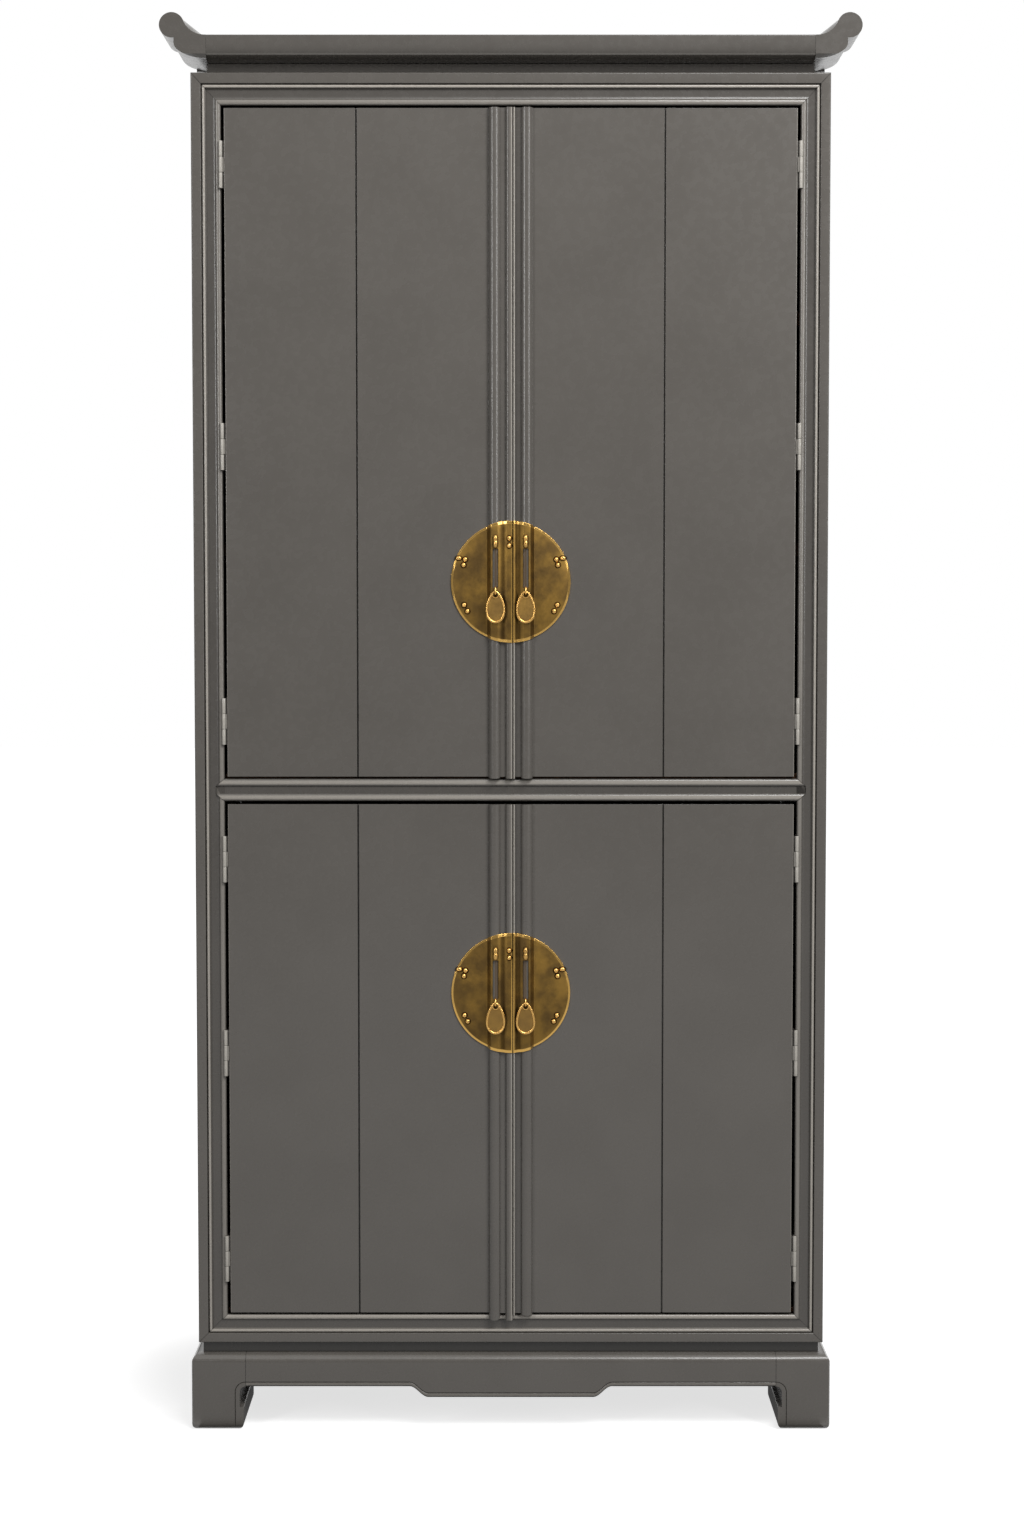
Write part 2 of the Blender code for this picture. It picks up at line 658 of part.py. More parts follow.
def front_apron_edge():
    """(distance from the middle, height) along the lower edge, which drops in an S to the middle."""
    half = BASE_HALF - FOOT_JOINT - SEAT
    left = [(-half, APRON_EDGE)]
    steps = 2 * ARC_STEPS
    for step in range(steps + 1):
        share = step / steps
        x = -APRON_DROP_HALF_WIDTH - APRON_SWEEP * (1 - share)
        left.append((x, APRON_EDGE - APRON_DROP * (1 - math.cos(math.pi * share)) / 2))
    return left + [(-x, z) for x, z in reversed(left)]


def build_base(lacquer):
    """Four bracket feet, the aprons between them and the recessed board that carries the carcass."""
    rings = []
    for x, edge in front_apron_edge():
        rings.append([(x, BASE_Y + deep, z) for deep, z in apron_section(edge)])
    linked("front_apron", loft(rings), lacquer)
    side_joint = FOOT_SIDE + FOOT_JOINT - FOOT_FACE
    for name, sign in SIDES.items():
        section = [(sign * (BASE_HALF - deep), z) for deep, z in apron_section(APRON_EDGE)]
        front, back = BASE_Y + side_joint + SEAT, BACK_Y - side_joint - SEAT
        prism(f"{name}_apron", section, "Y", front, back, lacquer)
        front_view = [(sign * (BASE_HALF - a), z) for a, z in foot_outline(FOOT_FACE, BASE_TOP_ROUND)]
        for end, edge, inward, top_round in (
            ("front", BASE_Y, 1, BASE_TOP_ROUND),
            ("back", BACK_Y, -1, TINY),
        ):
            near, far = edge - inward * SEAT, edge + inward * (side_joint + SEAT)
            foot = prism(f"{end}_{name}_foot", front_view, "Y", near, far, lacquer)
            side_view = [(edge + inward * a, z) for a, z in foot_outline(FOOT_SIDE, top_round)]
            inner, outer = BASE_HALF - FOOT_JOINT - SEAT, BASE_HALF + SEAT
            shape = prism(f"{end}_{name}_foot_side", side_view, "X", sign * inner, sign * outer)
            combine(foot, "INTERSECT", shape)
            for view, (width, place) in foot_faces(end, sign, edge, inward).items():
                for line, path in foot_lines(width).items():
                    cutter = incised_line(f"{end}_{name}_foot_{view}_{line}", path, place)
                    combine(foot, "DIFFERENCE", cutter)
    rail = BASE_HALF - FOOT_JOINT - SEAT
    low = (-rail, BACK_Y - APRON_THICKNESS, APRON_EDGE)
    box("back_rail", low, (rail, BACK_Y, BASE_HEIGHT), lacquer)
    neck = HALF_WIDTH - BASE_NECK_SETBACK
    low = (-neck, FACE_Y + BASE_NECK_SETBACK, BASE_HEIGHT + SEAT)
    box("plinth_neck_board", low, (neck, BACK_Y, CARCASS_Z), lacquer)


def strip_edges(side):
    """Where a meeting strip's reed and its bead or lip start and end, across the cabinet."""
    sign = SIDES[side]
    meeting = MEETING_LINE + sign * MEETING_GAP / 2
    lip = LEFT_BEAD_WIDTH if side == "left" else RIGHT_LIP_WIDTH
    recess = LEFT_RECESS if side == "left" else RIGHT_RECESS
    reed_inner = meeting + sign * (lip + recess)
    return {
        "meeting": meeting,
        "lip": meeting + sign * lip,
        "reed_inner": reed_inner,
        "reed_middle": reed_inner + sign * REED_WIDTH / 2,
        "reed_outer": reed_inner + sign * REED_WIDTH,
    }


def build_door(name, side, tier, empty, lacquer):
    """A door board with its groove, and the door leaves and middle knuckles of its hinges."""
    sign = SIDES[side]
    outer = sign * DOOR_OUTER
    edges = strip_edges(side)
    groove = (outer + edges["reed_outer"]) / 2
    back = DOOR_Y + DOOR_THICKNESS
    outline = [
        (outer, back),
        (outer, DOOR_Y + DOOR_EASE),
        (outer - sign * DOOR_EASE, DOOR_Y),
        (groove + sign * GROOVE_WIDTH / 2, DOOR_Y),
        (groove, DOOR_Y + GROOVE_DEPTH),
        (groove - sign * GROOVE_WIDTH / 2, DOOR_Y),
        (edges["meeting"], DOOR_Y),
        (edges["meeting"], back),
    ]
    door = prism(name, outline, "Z", tier["door_z"], tier["door_top"], lacquer)
    knuckle = HINGE_LENGTH / 6 - KNUCKLE_GAP / 2
    half_link = LINK_THICKNESS / 2
    spread = math.asin(half_link / KNUCKLE_RADIUS)
    leaf_x = DOOR_OUTER + LEAF_THICKNESS
    for order, height in enumerate(hinge_heights(tier)):
        eye = arc((HINGE_X, HINGE_Y), KNUCKLE_RADIUS, -math.pi + spread, math.pi - spread, KNUCKLE_SIDES)
        link_end = DOOR_OUTER + LEAF_THICKNESS / 2
        eye += [(link_end, HINGE_Y + half_link), (link_end, HINGE_Y - half_link)]
        mirrored = [(sign * x, y) for x, y in eye]
        low, high = height - knuckle, height + knuckle
        combine(door, "UNION", prism(f"{name}_knuckle_{order}", mirrored, "Z", low, high))
        half = HINGE_LENGTH / 2
        top = knuckle - KNUCKLE_GAP
        leaf_front = DOOR_Y + DOOR_EASE + SEAT
        leaf = [
            (leaf_front + LEAF_DEPTH, height - half),
            (leaf_front + LEAF_DEPTH, height + half),
            (leaf_front, height + half),
            (leaf_front, height + top),
            (HINGE_Y - half_link + SEAT, height + top),
            (HINGE_Y - half_link + SEAT, height - top),
            (leaf_front, height - top),
            (leaf_front, height - half),
        ]
        root = DOOR_OUTER - DOOR_EASE / 2
        plate = prism(f"{name}_leaf_{order}", leaf, "X", sign * root, sign * leaf_x)
        combine(door, "UNION", plate)
    bore = circle((sign * HINGE_X, HINGE_Y), PIN_RADIUS + PIN_CLEARANCE, PIN_BORE_SIDES)
    drill = prism(f"{name}_bore", bore, "Z", tier["door_z"], tier["door_top"])
    combine(door, "DIFFERENCE", drill)
    hang(door, empty)


def build_hinges(name, side, tier, steel):
    """The frame leaves of a door's hinges, each with its two outer knuckles and its pin."""
    sign = SIDES[side]
    half, knuckle = HINGE_LENGTH / 2, HINGE_LENGTH / 6 + KNUCKLE_GAP / 2
    leaf_outer = OPENING_HALF - SEAT
    leaf_inner = leaf_outer - LEAF_THICKNESS
    clear = HINGE_Y + KNUCKLE_RADIUS + KNUCKLE_GAP
    deep = clear + LEAF_DEPTH
    for order, height in enumerate(hinge_heights(tier)):
        turned = [
            (KNUCKLE_RADIUS, height - half),
            (KNUCKLE_RADIUS, height - knuckle),
            (PIN_RADIUS, height - knuckle),
            (PIN_RADIUS, height + knuckle),
            (KNUCKLE_RADIUS, height + knuckle),
            (KNUCKLE_RADIUS, height + half),
        ]
        rings = []
        for radius, z in turned:
            ring = circle((sign * HINGE_X, HINGE_Y), radius, KNUCKLE_SIDES)
            rings.append([(x, y, z) for x, y in ring])
        hinge = linked(f"{name}_hinge_{order + 1}", loft(rings), steel)
        near, far = knuckle + KNUCKLE_GAP, half - KNUCKLE_GAP
        leaf = [
            (deep, height - half),
            (deep, height + half),
            (clear, height + half),
            (clear, height + far),
            (HINGE_Y, height + far),
            (HINGE_Y, height + near),
            (clear, height + near),
            (clear, height - near),
            (HINGE_Y, height - near),
            (HINGE_Y, height - far),
            (clear, height - far),
            (clear, height - half),
        ]
        plate = prism(f"{name}_frame_leaf_{order}", leaf, "X", sign * leaf_inner, sign * leaf_outer)
        combine(hinge, "UNION", plate)


def build_strip(name, side, tier, empty, lacquer):
    """The reeded strip on a door's meeting edge: a reed, a recess, and a bead or a lip."""
    sign = SIDES[side]
    edges = {key: sign * x for key, x in strip_edges(side).items()}
    profile = joined(
        [(edges["reed_outer"], 0)],
        quarter((edges["reed_outer"], 0), (edges["reed_middle"], REED_CREST), True),
        quarter((edges["reed_middle"], REED_CREST), (edges["reed_inner"], STRIP_BASE), False),
        crown(edges["lip"], STRIP_BASE, edges["meeting"], STRIP_BASE, LIP_CREST),
        [(edges["meeting"], 0)],
    )
    outline = [(sign * x, STRIP_Y - up) for x, up in profile]
    overhang, end_round = tier["overhang"][side], tier["end_round"][side]
    low, top = tier["door_z"] - overhang, tier["door_top"]
    strip = prism(f"{name}_strip", outline, "Z", low, top, lacquer)
    # Seen from the front, the reed ends in a half round, and a notch parts it from the bead
    near, far = edges["meeting"] - SEAT, edges["reed_outer"] + SEAT
    shoulder = low + end_round
    view = joined(
        [(near, top + SEAT), (far, top + SEAT)],
        quarter((far, shoulder), (edges["reed_middle"], low), True),
        quarter((edges["reed_middle"], low), (edges["reed_inner"], shoulder), False),
        [(edges["reed_inner"], low + overhang), (edges["lip"], low + overhang)],
        quarter((edges["lip"], low + end_round / 2), (edges["lip"] - end_round / 3, low), True),
        [(near, low)],
    )
    front, back = STRIP_Y - 2 * REED_CREST, STRIP_Y + SEAT
    shape = prism(f"{name}_strip_view", [(sign * x, z) for x, z in view], "Y", front, back)
    combine(strip, "INTERSECT", shape)
    hang(strip, empty)


def hardware_x(side):
    """Where a plate's slot, lug, eye and drop stand: on the reed, a little towards the split."""
    return strip_edges(side)["reed_middle"] - SIDES[side] * HARDWARE_INSET


def plate_section(side):
    """The sheet of a lock plate in plan, flat on the door and formed over the strip."""
    sign = SIDES[side]
    edges = {key: sign * x for key, x in strip_edges(side).items()}
    shoulder = REED_WIDTH / 5
    lip_width = edges["lip"] - edges["meeting"]
    lip_end = edges["meeting"] + max(lip_width - shoulder, lip_width / 2) + 2 * SEAT
    recess_middle = (edges["lip"] + edges["reed_inner"]) / 2
    back = [
        (edges["meeting"], LIP_CREST),
        (lip_end, LIP_CREST),
        (recess_middle, PLATE_DIP),
        (edges["reed_inner"] + shoulder, REED_CREST),
        (edges["reed_outer"] - shoulder, REED_CREST),
        (edges["reed_outer"] + PLATE_RISE_RUN, 0),
        (PLATE_RADIUS + 2 * PLATE_SHEET, 0),
    ]
    front = [(x, up + PLATE_SHEET) for x, up in reversed(back)]
    return [(sign * x, STRIP_Y - SEAT - up) for x, up in back + front]


def build_plate(name, side, tier, empty, brass):
    """Half of the round lock plate, with the slot over the reed and the lug above it."""
    middle, z = hardware_x(side), tier["plate_z"]
    reach = PLATE_RADIUS + 2 * PLATE_SHEET
    plate = prism(f"{name}_plate", plate_section(side), "Z", z - reach, z + reach, brass)
    front, back = PLATE_FRONT_Y - 2 * LUG_PROUD, DOOR_Y + DOOR_THICKNESS
    round_edge = circle((0, z), PLATE_RADIUS, PLATE_SIDES)
    combine(plate, "INTERSECT", prism(f"{name}_disc", round_edge, "Y", front, back))
    half = SLOT_WIDTH / 2
    slot = rectangle(middle - half, z - SLOT_BOTTOM, middle + half, z + SLOT_TOP)
    combine(plate, "DIFFERENCE", prism(f"{name}_slot", slot, "Y", front, back))
    radius = LUG_WIDTH / 2
    low, high = z + SLOT_TOP + radius, z + SLOT_TOP + LUG_HEIGHT - radius
    lug = arc((middle, high), radius, 0, math.pi, LUG_END_STEPS)
    lug += arc((middle, low), radius, math.pi, math.tau, LUG_END_STEPS)
    inside = PLATE_FRONT_Y + PLATE_SHEET / 2
    combine(plate, "UNION", prism(f"{name}_lug", lug, "Y", PLATE_FRONT_Y - LUG_PROUD, inside))
    hang(plate, empty)


def teardrop(centre_x, top, inset):
    """The outline of a drop handle, drawn in by inset: an ellipse whose width tapers towards its top."""
    widest = (1 - math.sqrt(1 + 8 * DROP_TAPER**2)) / (4 * DROP_TAPER)
    swell = math.sqrt(1 - widest**2) * (1 - DROP_TAPER * widest)
    half_width, half_length = DROP_WIDTH / 2 / swell, DROP_LENGTH / 2
    points = []
    for step in range(DROP_STEPS):
        sine, cosine = math.sin(math.tau * step / DROP_STEPS), math.cos(math.tau * step / DROP_STEPS)
        taper = 1 - DROP_TAPER * cosine
        run_x = half_width * (cosine * taper + DROP_TAPER * sine**2)
        run_z = -half_length * sine
        draw = inset / math.hypot(run_x, run_z)
        x = centre_x + half_width * sine * taper + draw * run_z
        points.append((x, top - half_length * (1 - cosine) - draw * run_x))
    return points


def build_drop(name, side, tier, door_empty, brass):
    """The drop handle, with a rim, a collar round its hole, and the wire eye that it swings on."""
    middle = hardware_x(side)
    axis_z = tier["plate_z"] - DROP_AXIS_BELOW_CENTRE
    axis = (middle, DROP_AXIS_Y, axis_z)
    front, back = DROP_AXIS_Y - DROP_THICKNESS / 2, DROP_AXIS_Y + DROP_THICKNESS / 2
    top = axis_z + DROP_BAR / 2
    drop = prism(f"{name}_drop", teardrop(middle, top, 0), "Y", front, back, brass)
    face = prism(f"{name}_drop_face", teardrop(middle, top, DROP_RIM), "Y", front - SEAT, front + DROP_RECESS)
    hole_z = axis_z - DROP_HOLE_BELOW_AXIS
    collar = circle((middle, hole_z), DROP_HOLE / 2 + DROP_COLLAR, DROP_HOLE_SIDES)
    collar = prism(f"{name}_drop_collar", collar, "Y", front - 2 * SEAT, front + DROP_RECESS + SEAT)
    combine(face, "DIFFERENCE", collar)
    combine(drop, "DIFFERENCE", face)
    hole = circle((middle, hole_z), DROP_HOLE / 2, DROP_HOLE_SIDES)
    combine(drop, "DIFFERENCE", prism(f"{name}_drop_hole", hole, "Y", front - SEAT, back + SEAT))
    hang(drop, pivot(f"{name}_drop_axis", axis, door_empty))
    build_eye(name, axis, door_empty, brass)


def build_eye(name, axis, empty, brass):
    """A bent wire round the top bar of the drop, with two legs that stand on the lock plate."""
    foot = PLATE_FRONT_Y - SEAT
    bend = arc((axis[1], axis[2]), EYE_RADIUS, math.pi / 2, 3 * math.pi / 2, EYE_BEND_STEPS)
    path = [(foot, axis[2] + EYE_RADIUS), *bend, (foot, axis[2] - EYE_RADIUS)]
    curve = bpy.data.curves.new(f"{name}_eye", "CURVE")
    curve.dimensions = "3D"
    spline = curve.splines.new("POLY")
    spline.points.add(len(path) - 1)
    for point, (y, z) in zip(spline.points, path):
        point.co = (axis[0], y, z, 1)
    curve.bevel_depth = EYE_WIRE_RADIUS
    curve.bevel_resolution = 1
    curve.use_fill_caps = True
    curve.materials.append(brass)
    eye = bpy.data.objects.new(f"{name}_eye", curve)
    bpy.context.scene.collection.objects.link(eye)
    hang(eye, empty)


def build_doors(lacquer, brass, steel):
    """The four doors, with what each carries."""
    for tier_name, tier in TIERS.items():
        for side, sign in SIDES.items():
            name = f"{tier_name}_{side}_door"
            middle = (tier["door_z"] + tier["door_top"]) / 2
            empty = pivot(f"{name}_axis", (sign * HINGE_X, HINGE_Y, middle))
            build_door(name, side, tier, empty, lacquer)
            build_hinges(name, side, tier, steel)
            build_strip(name, side, tier, empty, lacquer)
            build_plate(name, side, tier, empty, brass)
            build_drop(name, side, tier, empty, brass)


def main():
    clear_scene()
    lacquer = finish("grey_satin_lacquer", *GREY_LACQUER)
    wood = finish("walnut_veneer", *WALNUT_VENEER)
    brass = finish("antique_brass", *ANTIQUE_BRASS)
    steel = finish("grey_lacquered_steel", *GREY_LACQUER)
    build_base(lacquer)
    build_carcass(lacquer, wood)
    build_face_frame(lacquer)
    build_roof(lacquer)
    build_doors(lacquer, brass, steel)


main()
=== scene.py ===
# %% [markdown]
# # A two-tier lacquered cabinet
#
# The cabinet is a tall box of boards under a roof board with scrolled ends. A moulded frame surrounds two
# pairs of doors, and each pair meets under a round lock plate of old brass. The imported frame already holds
# every board at its real size, so this lesson only dresses it: plain boards keep their meshes and get a
# finish, and each moulded, turned or formed piece is replaced by a finer surface, worked out with numpy in
# the same place.

# %% Load the frame
import json
import math
from types import SimpleNamespace

import bmesh
import bpy
import numpy as np
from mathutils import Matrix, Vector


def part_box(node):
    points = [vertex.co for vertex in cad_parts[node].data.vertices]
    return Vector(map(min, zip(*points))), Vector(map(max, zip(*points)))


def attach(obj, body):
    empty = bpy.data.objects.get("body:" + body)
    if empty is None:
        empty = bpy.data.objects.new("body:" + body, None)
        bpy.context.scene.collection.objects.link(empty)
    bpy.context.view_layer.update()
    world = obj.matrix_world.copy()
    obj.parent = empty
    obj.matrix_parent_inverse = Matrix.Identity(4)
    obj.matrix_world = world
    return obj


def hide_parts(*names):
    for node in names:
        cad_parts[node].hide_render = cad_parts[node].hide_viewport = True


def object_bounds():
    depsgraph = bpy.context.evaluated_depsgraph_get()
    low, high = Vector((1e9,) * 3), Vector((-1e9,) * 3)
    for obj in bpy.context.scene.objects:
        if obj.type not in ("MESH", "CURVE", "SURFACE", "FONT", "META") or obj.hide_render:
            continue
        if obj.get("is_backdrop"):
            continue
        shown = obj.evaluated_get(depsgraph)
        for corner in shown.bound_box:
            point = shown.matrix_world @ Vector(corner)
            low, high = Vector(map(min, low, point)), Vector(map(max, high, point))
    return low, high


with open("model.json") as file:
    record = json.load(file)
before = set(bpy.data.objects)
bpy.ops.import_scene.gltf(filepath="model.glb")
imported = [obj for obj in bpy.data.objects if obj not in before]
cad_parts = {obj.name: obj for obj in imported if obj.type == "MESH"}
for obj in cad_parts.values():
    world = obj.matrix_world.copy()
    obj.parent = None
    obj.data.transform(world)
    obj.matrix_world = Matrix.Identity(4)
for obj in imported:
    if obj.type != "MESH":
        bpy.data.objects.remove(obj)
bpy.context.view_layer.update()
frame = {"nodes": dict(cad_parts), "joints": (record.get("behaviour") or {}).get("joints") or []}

# %% [markdown]
# ## Places that come from the frame
#
# A dressed piece has to sit where its solid sits. So the places are read from the boxes of the solids, and
# only the small sizes of a moulding or a fitting are written here. The four doors are alike apart from
# their places, so each has a record of these, and the later steps go through the four records.

# %% Places
MM = 0.001
SEAT = 0.3 * MM
SIDES = {"left": -1, "right": 1}


def corners(node):
    """A node's lowest and highest corner as two arrays."""
    low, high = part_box(node)
    return np.array(low), np.array(high)


def joint_place(name):
    """Where a joint's axis passes, from the record."""
    return np.array(next(joint["pos_m"] for joint in frame["joints"] if joint["name"] == name))


def door_record(tier, side):
    """The places of one door. Distances along the door count from the cabinet's middle."""
    name, sign = f"{tier}_{side}_door", SIDES[side]
    low, high = corners(name)
    strip_low, strip_high = corners(f"{name}_strip")
    plate_low, plate_high = corners(f"{name}_plate")
    meeting, reed_outer = sorted([sign * strip_low[0], sign * strip_high[0]])
    swing, drop = joint_place(f"{name}_swing"), joint_place(f"{tier}_{side}_drop_swing")
    hinges = []
    for order in (1, 2, 3):
        hinge_low, hinge_high = corners(f"{name}_hinge_{order}")
        hinges.append(np.array([swing[0], swing[1], (hinge_low[2] + hinge_high[2]) / 2]))
    return SimpleNamespace(
        name=name, side=side, sign=sign, leaf=f"{tier}_{side}_leaf", handle=f"{tier}_{side}_handle",
        low=low[2], top=high[2], strip_low=strip_low[2], strip_top=strip_high[2],
        meeting=meeting, reed_outer=reed_outer, hinges=hinges, drop=drop, middle=abs(drop[0]),
        plate_z=(plate_low[2] + plate_high[2]) / 2,
        plate_radius=max(abs(plate_low[0]), abs(plate_high[0])),
    )


doors = [door_record(tier, side) for tier in ("upper", "lower") for side in SIDES]
stile_low, stile_high = corners("right_stile")
bottom_low, bottom_high = corners("bottom_rail")
top_low, top_high = corners("top_rail")
FACE_Y = stile_low[1]
OPENING_HALF, HALF_WIDTH = stile_low[0], stile_high[0]
STILE_WIDTH = HALF_WIDTH - OPENING_HALF
CARCASS_Z, CARCASS_TOP = bottom_low[2], top_high[2]
print("face", round(FACE_Y, 4), "half width", round(HALF_WIDTH, 4), "opening", round(OPENING_HALF, 4))

# %% [markdown]
# ## Profiles
#
# Nearly every piece here is a profile carried along a path: a moulding along a rail, a section along an
# apron, a turned barrel round its axis. A profile is an array of flat points, put together from quarter
# ellipses, arcs and straight runs.

# %% Profiles
# Steps of a large round, of a small one and of an eased edge
ARC_STEPS, SMALL_ARC_STEPS, EASE_STEPS = 10, 4, 5
DOUBLED = 1e-7


def columns(*values):
    """Points from one array for each coordinate, all spread to the same shape."""
    return np.stack(np.broadcast_arrays(*values), -1)


def quarter(start, end, upright, steps=ARC_STEPS):
    """A quarter of an ellipse between two points: sine and 1 - cosine of a turn from 0 to 90 degrees,
    swapped when upright, so that the curve leaves its start along the second coordinate."""
    turn = np.linspace(0, np.pi / 2, steps + 1)
    shares = columns(1 - np.cos(turn), np.sin(turn))
    if not upright:
        shares = shares[:, ::-1]
    start, end = np.array(start), np.array(end)
    return start + (end - start) * shares


def crown(a0, base0, a1, base1, crest):
    """A rounded ridge: a quarter ellipse up to the crest, half way along, and another down again."""
    middle = (a0 + a1) / 2
    climb = quarter((a0, base0), (middle, crest), True)
    return np.concatenate([climb, quarter((middle, crest), (a1, base1), False)])


def arc(centre, radius, first, last, steps):
    """Points on a circle from one angle to another: centre plus radius times cosine and sine."""
    turn = np.linspace(first, last, steps + 1)
    return np.array(centre) + radius * columns(np.cos(turn), np.sin(turn))


def outline(*runs):
    """One closed outline from runs of points, without the doubled points where the runs meet."""
    points = np.concatenate([np.atleast_2d(run) for run in runs]).astype(float)
    step = np.linalg.norm(points - np.roll(points, 1, axis=0), axis=1)
    return points[step > DOUBLED]


def rectangle(a0, b0, a1, b1):
    """The outline of a box."""
    return np.array([(a0, b0), (a1, b0), (a1, b1), (a0, b1)])


print("a quarter ellipse has", len(quarter((0, 0), (1, 1), True)), "points")

# %% [markdown]
# ## Shells
#
# `sweep` joins rings of points with quads and fills both ends, which gives a closed shell. A shell is a
# pair: an array of points and a list of faces. `carve` lets Blender's Boolean cut one shell with others,
# for the seats and slots that no single profile can hold.

# %% Shells
MERGE_DISTANCE = 1e-6


def sweep(rings):
    """A closed shell through rings of points: ring i meets ring i + 1 in quads, and both ends are filled."""
    rings = np.asarray(rings, float)
    stations, count = rings.shape[:2]
    i, j = np.meshgrid(np.arange(stations - 1), np.arange(count), indexing="ij")
    k = (j + 1) % count
    quads = columns(i * count + j, i * count + k, (i + 1) * count + k, (i + 1) * count + j)
    first, last = np.arange(count)[::-1], np.arange(count) + (stations - 1) * count
    return rings.reshape(-1, 3), quads.reshape(-1, 4).tolist() + [first.tolist(), last.tolist()]


def placed(axis, distance, flat):
    """Flat points set at a distance along an axis, with their two coordinates in the other two places."""
    return np.insert(np.asarray(flat, float), "XYZ".index(axis), distance, axis=1)


def prism(flat, axis, start, end):
    """A shell of a flat outline carried along an axis."""
    return sweep([placed(axis, start, flat), placed(axis, end, flat)])


def block(low, high):
    """A shell of a box between two corners."""
    return prism(rectangle(low[0], low[1], high[0], high[1]), "Z", low[2], high[2])


def turned(profile, centre, axis, sides):
    """A shell of revolution: each (radius, distance) of the profile becomes a circle round the axis."""
    turn = np.linspace(0, 2 * np.pi, sides, endpoint=False)
    circle = columns(np.cos(turn), np.sin(turn))
    rings = [placed(axis, distance, radius * circle) for radius, distance in profile]
    return sweep(np.array(rings) + np.array(centre))


def moved(shell, offset, sign=1):
    """A shell shifted by an offset, after its X is turned round where the sign is -1."""
    return shell[0] * (sign, 1, 1) + np.array(offset), shell[1]


def together(*shells):
    """Several shells as one list of points and faces, with the later faces' numbers shifted."""
    points, faces, offset = [], [], 0
    for shell_points, shell_faces in shells:
        points.append(shell_points)
        faces += [[index + offset for index in face] for face in shell_faces]
        offset += len(shell_points)
    return np.concatenate(points), faces


def new_mesh(name, shell):
    """A mesh from a shell, with doubled points merged at the poles and all faces turned outwards."""
    mesh = bpy.data.meshes.new(name)
    mesh.from_pydata(shell[0].tolist(), [], shell[1])
    body = bmesh.new()
    body.from_mesh(mesh)
    bmesh.ops.remove_doubles(body, verts=body.verts, dist=MERGE_DISTANCE)
    bmesh.ops.recalc_face_normals(body, faces=body.faces)
    body.to_mesh(mesh)
    body.free()
    return mesh


def new_object(name, data):
    """An object that is linked to the scene."""
    item = bpy.data.objects.new(name, data)
    bpy.context.scene.collection.objects.link(item)
    return item


def vectors(items, key):
    """One vector of each of a mesh's points or faces, as an array."""
    values = np.empty(len(items) * 3)
    items.foreach_get(key, values)
    return values.reshape(-1, 3)


def carve(shell, *cuts):
    """The shell after each (operation, other shell) in turn, by Blender's exact Boolean."""
    solids = [new_object("carved", new_mesh("carved", shell))]
    for operation, other in cuts:
        solids.append(new_object("cutter", new_mesh("cutter", other)))
        modifier = solids[0].modifiers.new("cut", "BOOLEAN")
        modifier.operation, modifier.solver, modifier.object = operation, "EXACT", solids[-1]
    graph = bpy.context.evaluated_depsgraph_get()
    result = bpy.data.meshes.new_from_object(solids[0].evaluated_get(graph))
    for solid in solids:
        bpy.data.objects.remove(solid, do_unlink=True)
    return vectors(result.vertices, "co"), [list(face.vertices) for face in result.polygons]


print("a box has", len(block((0, 0, 0), (1, 1, 1))[1]), "faces")

# %% [markdown]
# ## Nodes for the finishes
#
# A finish is a small graph of nodes. One function adds a node, sets its values and links its inputs, so
# that each material reads as a short list. Colours are written as sRGB hex values, the way a paint chart
# gives them, and one function turns them into the linear values that Blender works in. A Map Range node
# takes a value as input 0 and its old and new range as 1 to 4. A Mix node takes the share as input 0 and,
# for colours, the two colours as 6 and 7, and its colour is output 2.

# %% Node helpers
SMOOTH = {"interpolation_type": "SMOOTHSTEP"}
COLOUR = {"data_type": "RGBA", "output": 2}


def linear(colour):
    """Linear RGBA of a hex colour: c / 12.92 for a dark channel, else ((c + 0.055) / 1.055) to the 2.4."""
    channels = np.array([int(colour[i:i + 2], 16) for i in (0, 2, 4)]) / 255
    values = np.where(channels <= 0.04045, channels / 12.92, ((channels + 0.055) / 1.055) ** 2.4)
    return (*values.tolist(), 1.0)


def connect(tree, node, inputs):
    """Set a node's inputs by name or number: a socket is linked, and a number or a hex colour written."""
    for key, value in inputs.items():
        if isinstance(value, bpy.types.NodeSocket):
            tree.links.new(value, node.inputs[key])
        else:
            node.inputs[key].default_value = linear(value) if isinstance(value, str) else value


def add(tree, kind, inputs, output=0, **settings):
    """A shader node of this kind with its inputs and settings. It gives one output, by name or number."""
    node = tree.nodes.new(f"ShaderNode{kind}")
    for key, value in settings.items():
        setattr(node, key, value)
    connect(tree, node, inputs)
    return node.outputs[output]


def new_finish(name):
    """A material with its tree, its Principled shader and the piece's Object coordinates."""
    material = bpy.data.materials.new(name)
    material.use_nodes = True
    tree = material.node_tree
    return material, tree, tree.nodes["Principled BSDF"], add(tree, "TexCoord", {}, "Object")


print("middle grey in linear light", round(linear("808080")[0], 3))

# %% [markdown]
# ## Grey satin lacquer
#
# The case is sprayed with a warm grey lacquer and rubbed down to a satin gloss. To the eye that gives a
# soft, broad reflection, a faint cloudiness where the film is thicker or thinner, and a gloss that is a
# little uneven. On the crests of the mouldings a lighter colour is a painted highlight, and the pieces carry
# it as an attribute called crest. Painted shade makes the faces that look into the gaps round the doors
# black, so that a gap reads as one dark line, and darkens the recesses of the mouldings, the incised lines
# and the lower roof; a little dark glaze sits in the joints, and one attribute carries both.

# %% Lacquer
LACQUER_LIGHT, LACQUER_DARK = "635f5a", "605c57"
# The colour of the painted highlight on crests, and the black of the painted shade and the joints' glaze
LACQUER_PAINTED_HIGHLIGHT, LACQUER_BLACK = "aca69d", "100f0e"
CLOUD_SIZE, GLOSS_PATCH = 90 * MM, 12 * MM


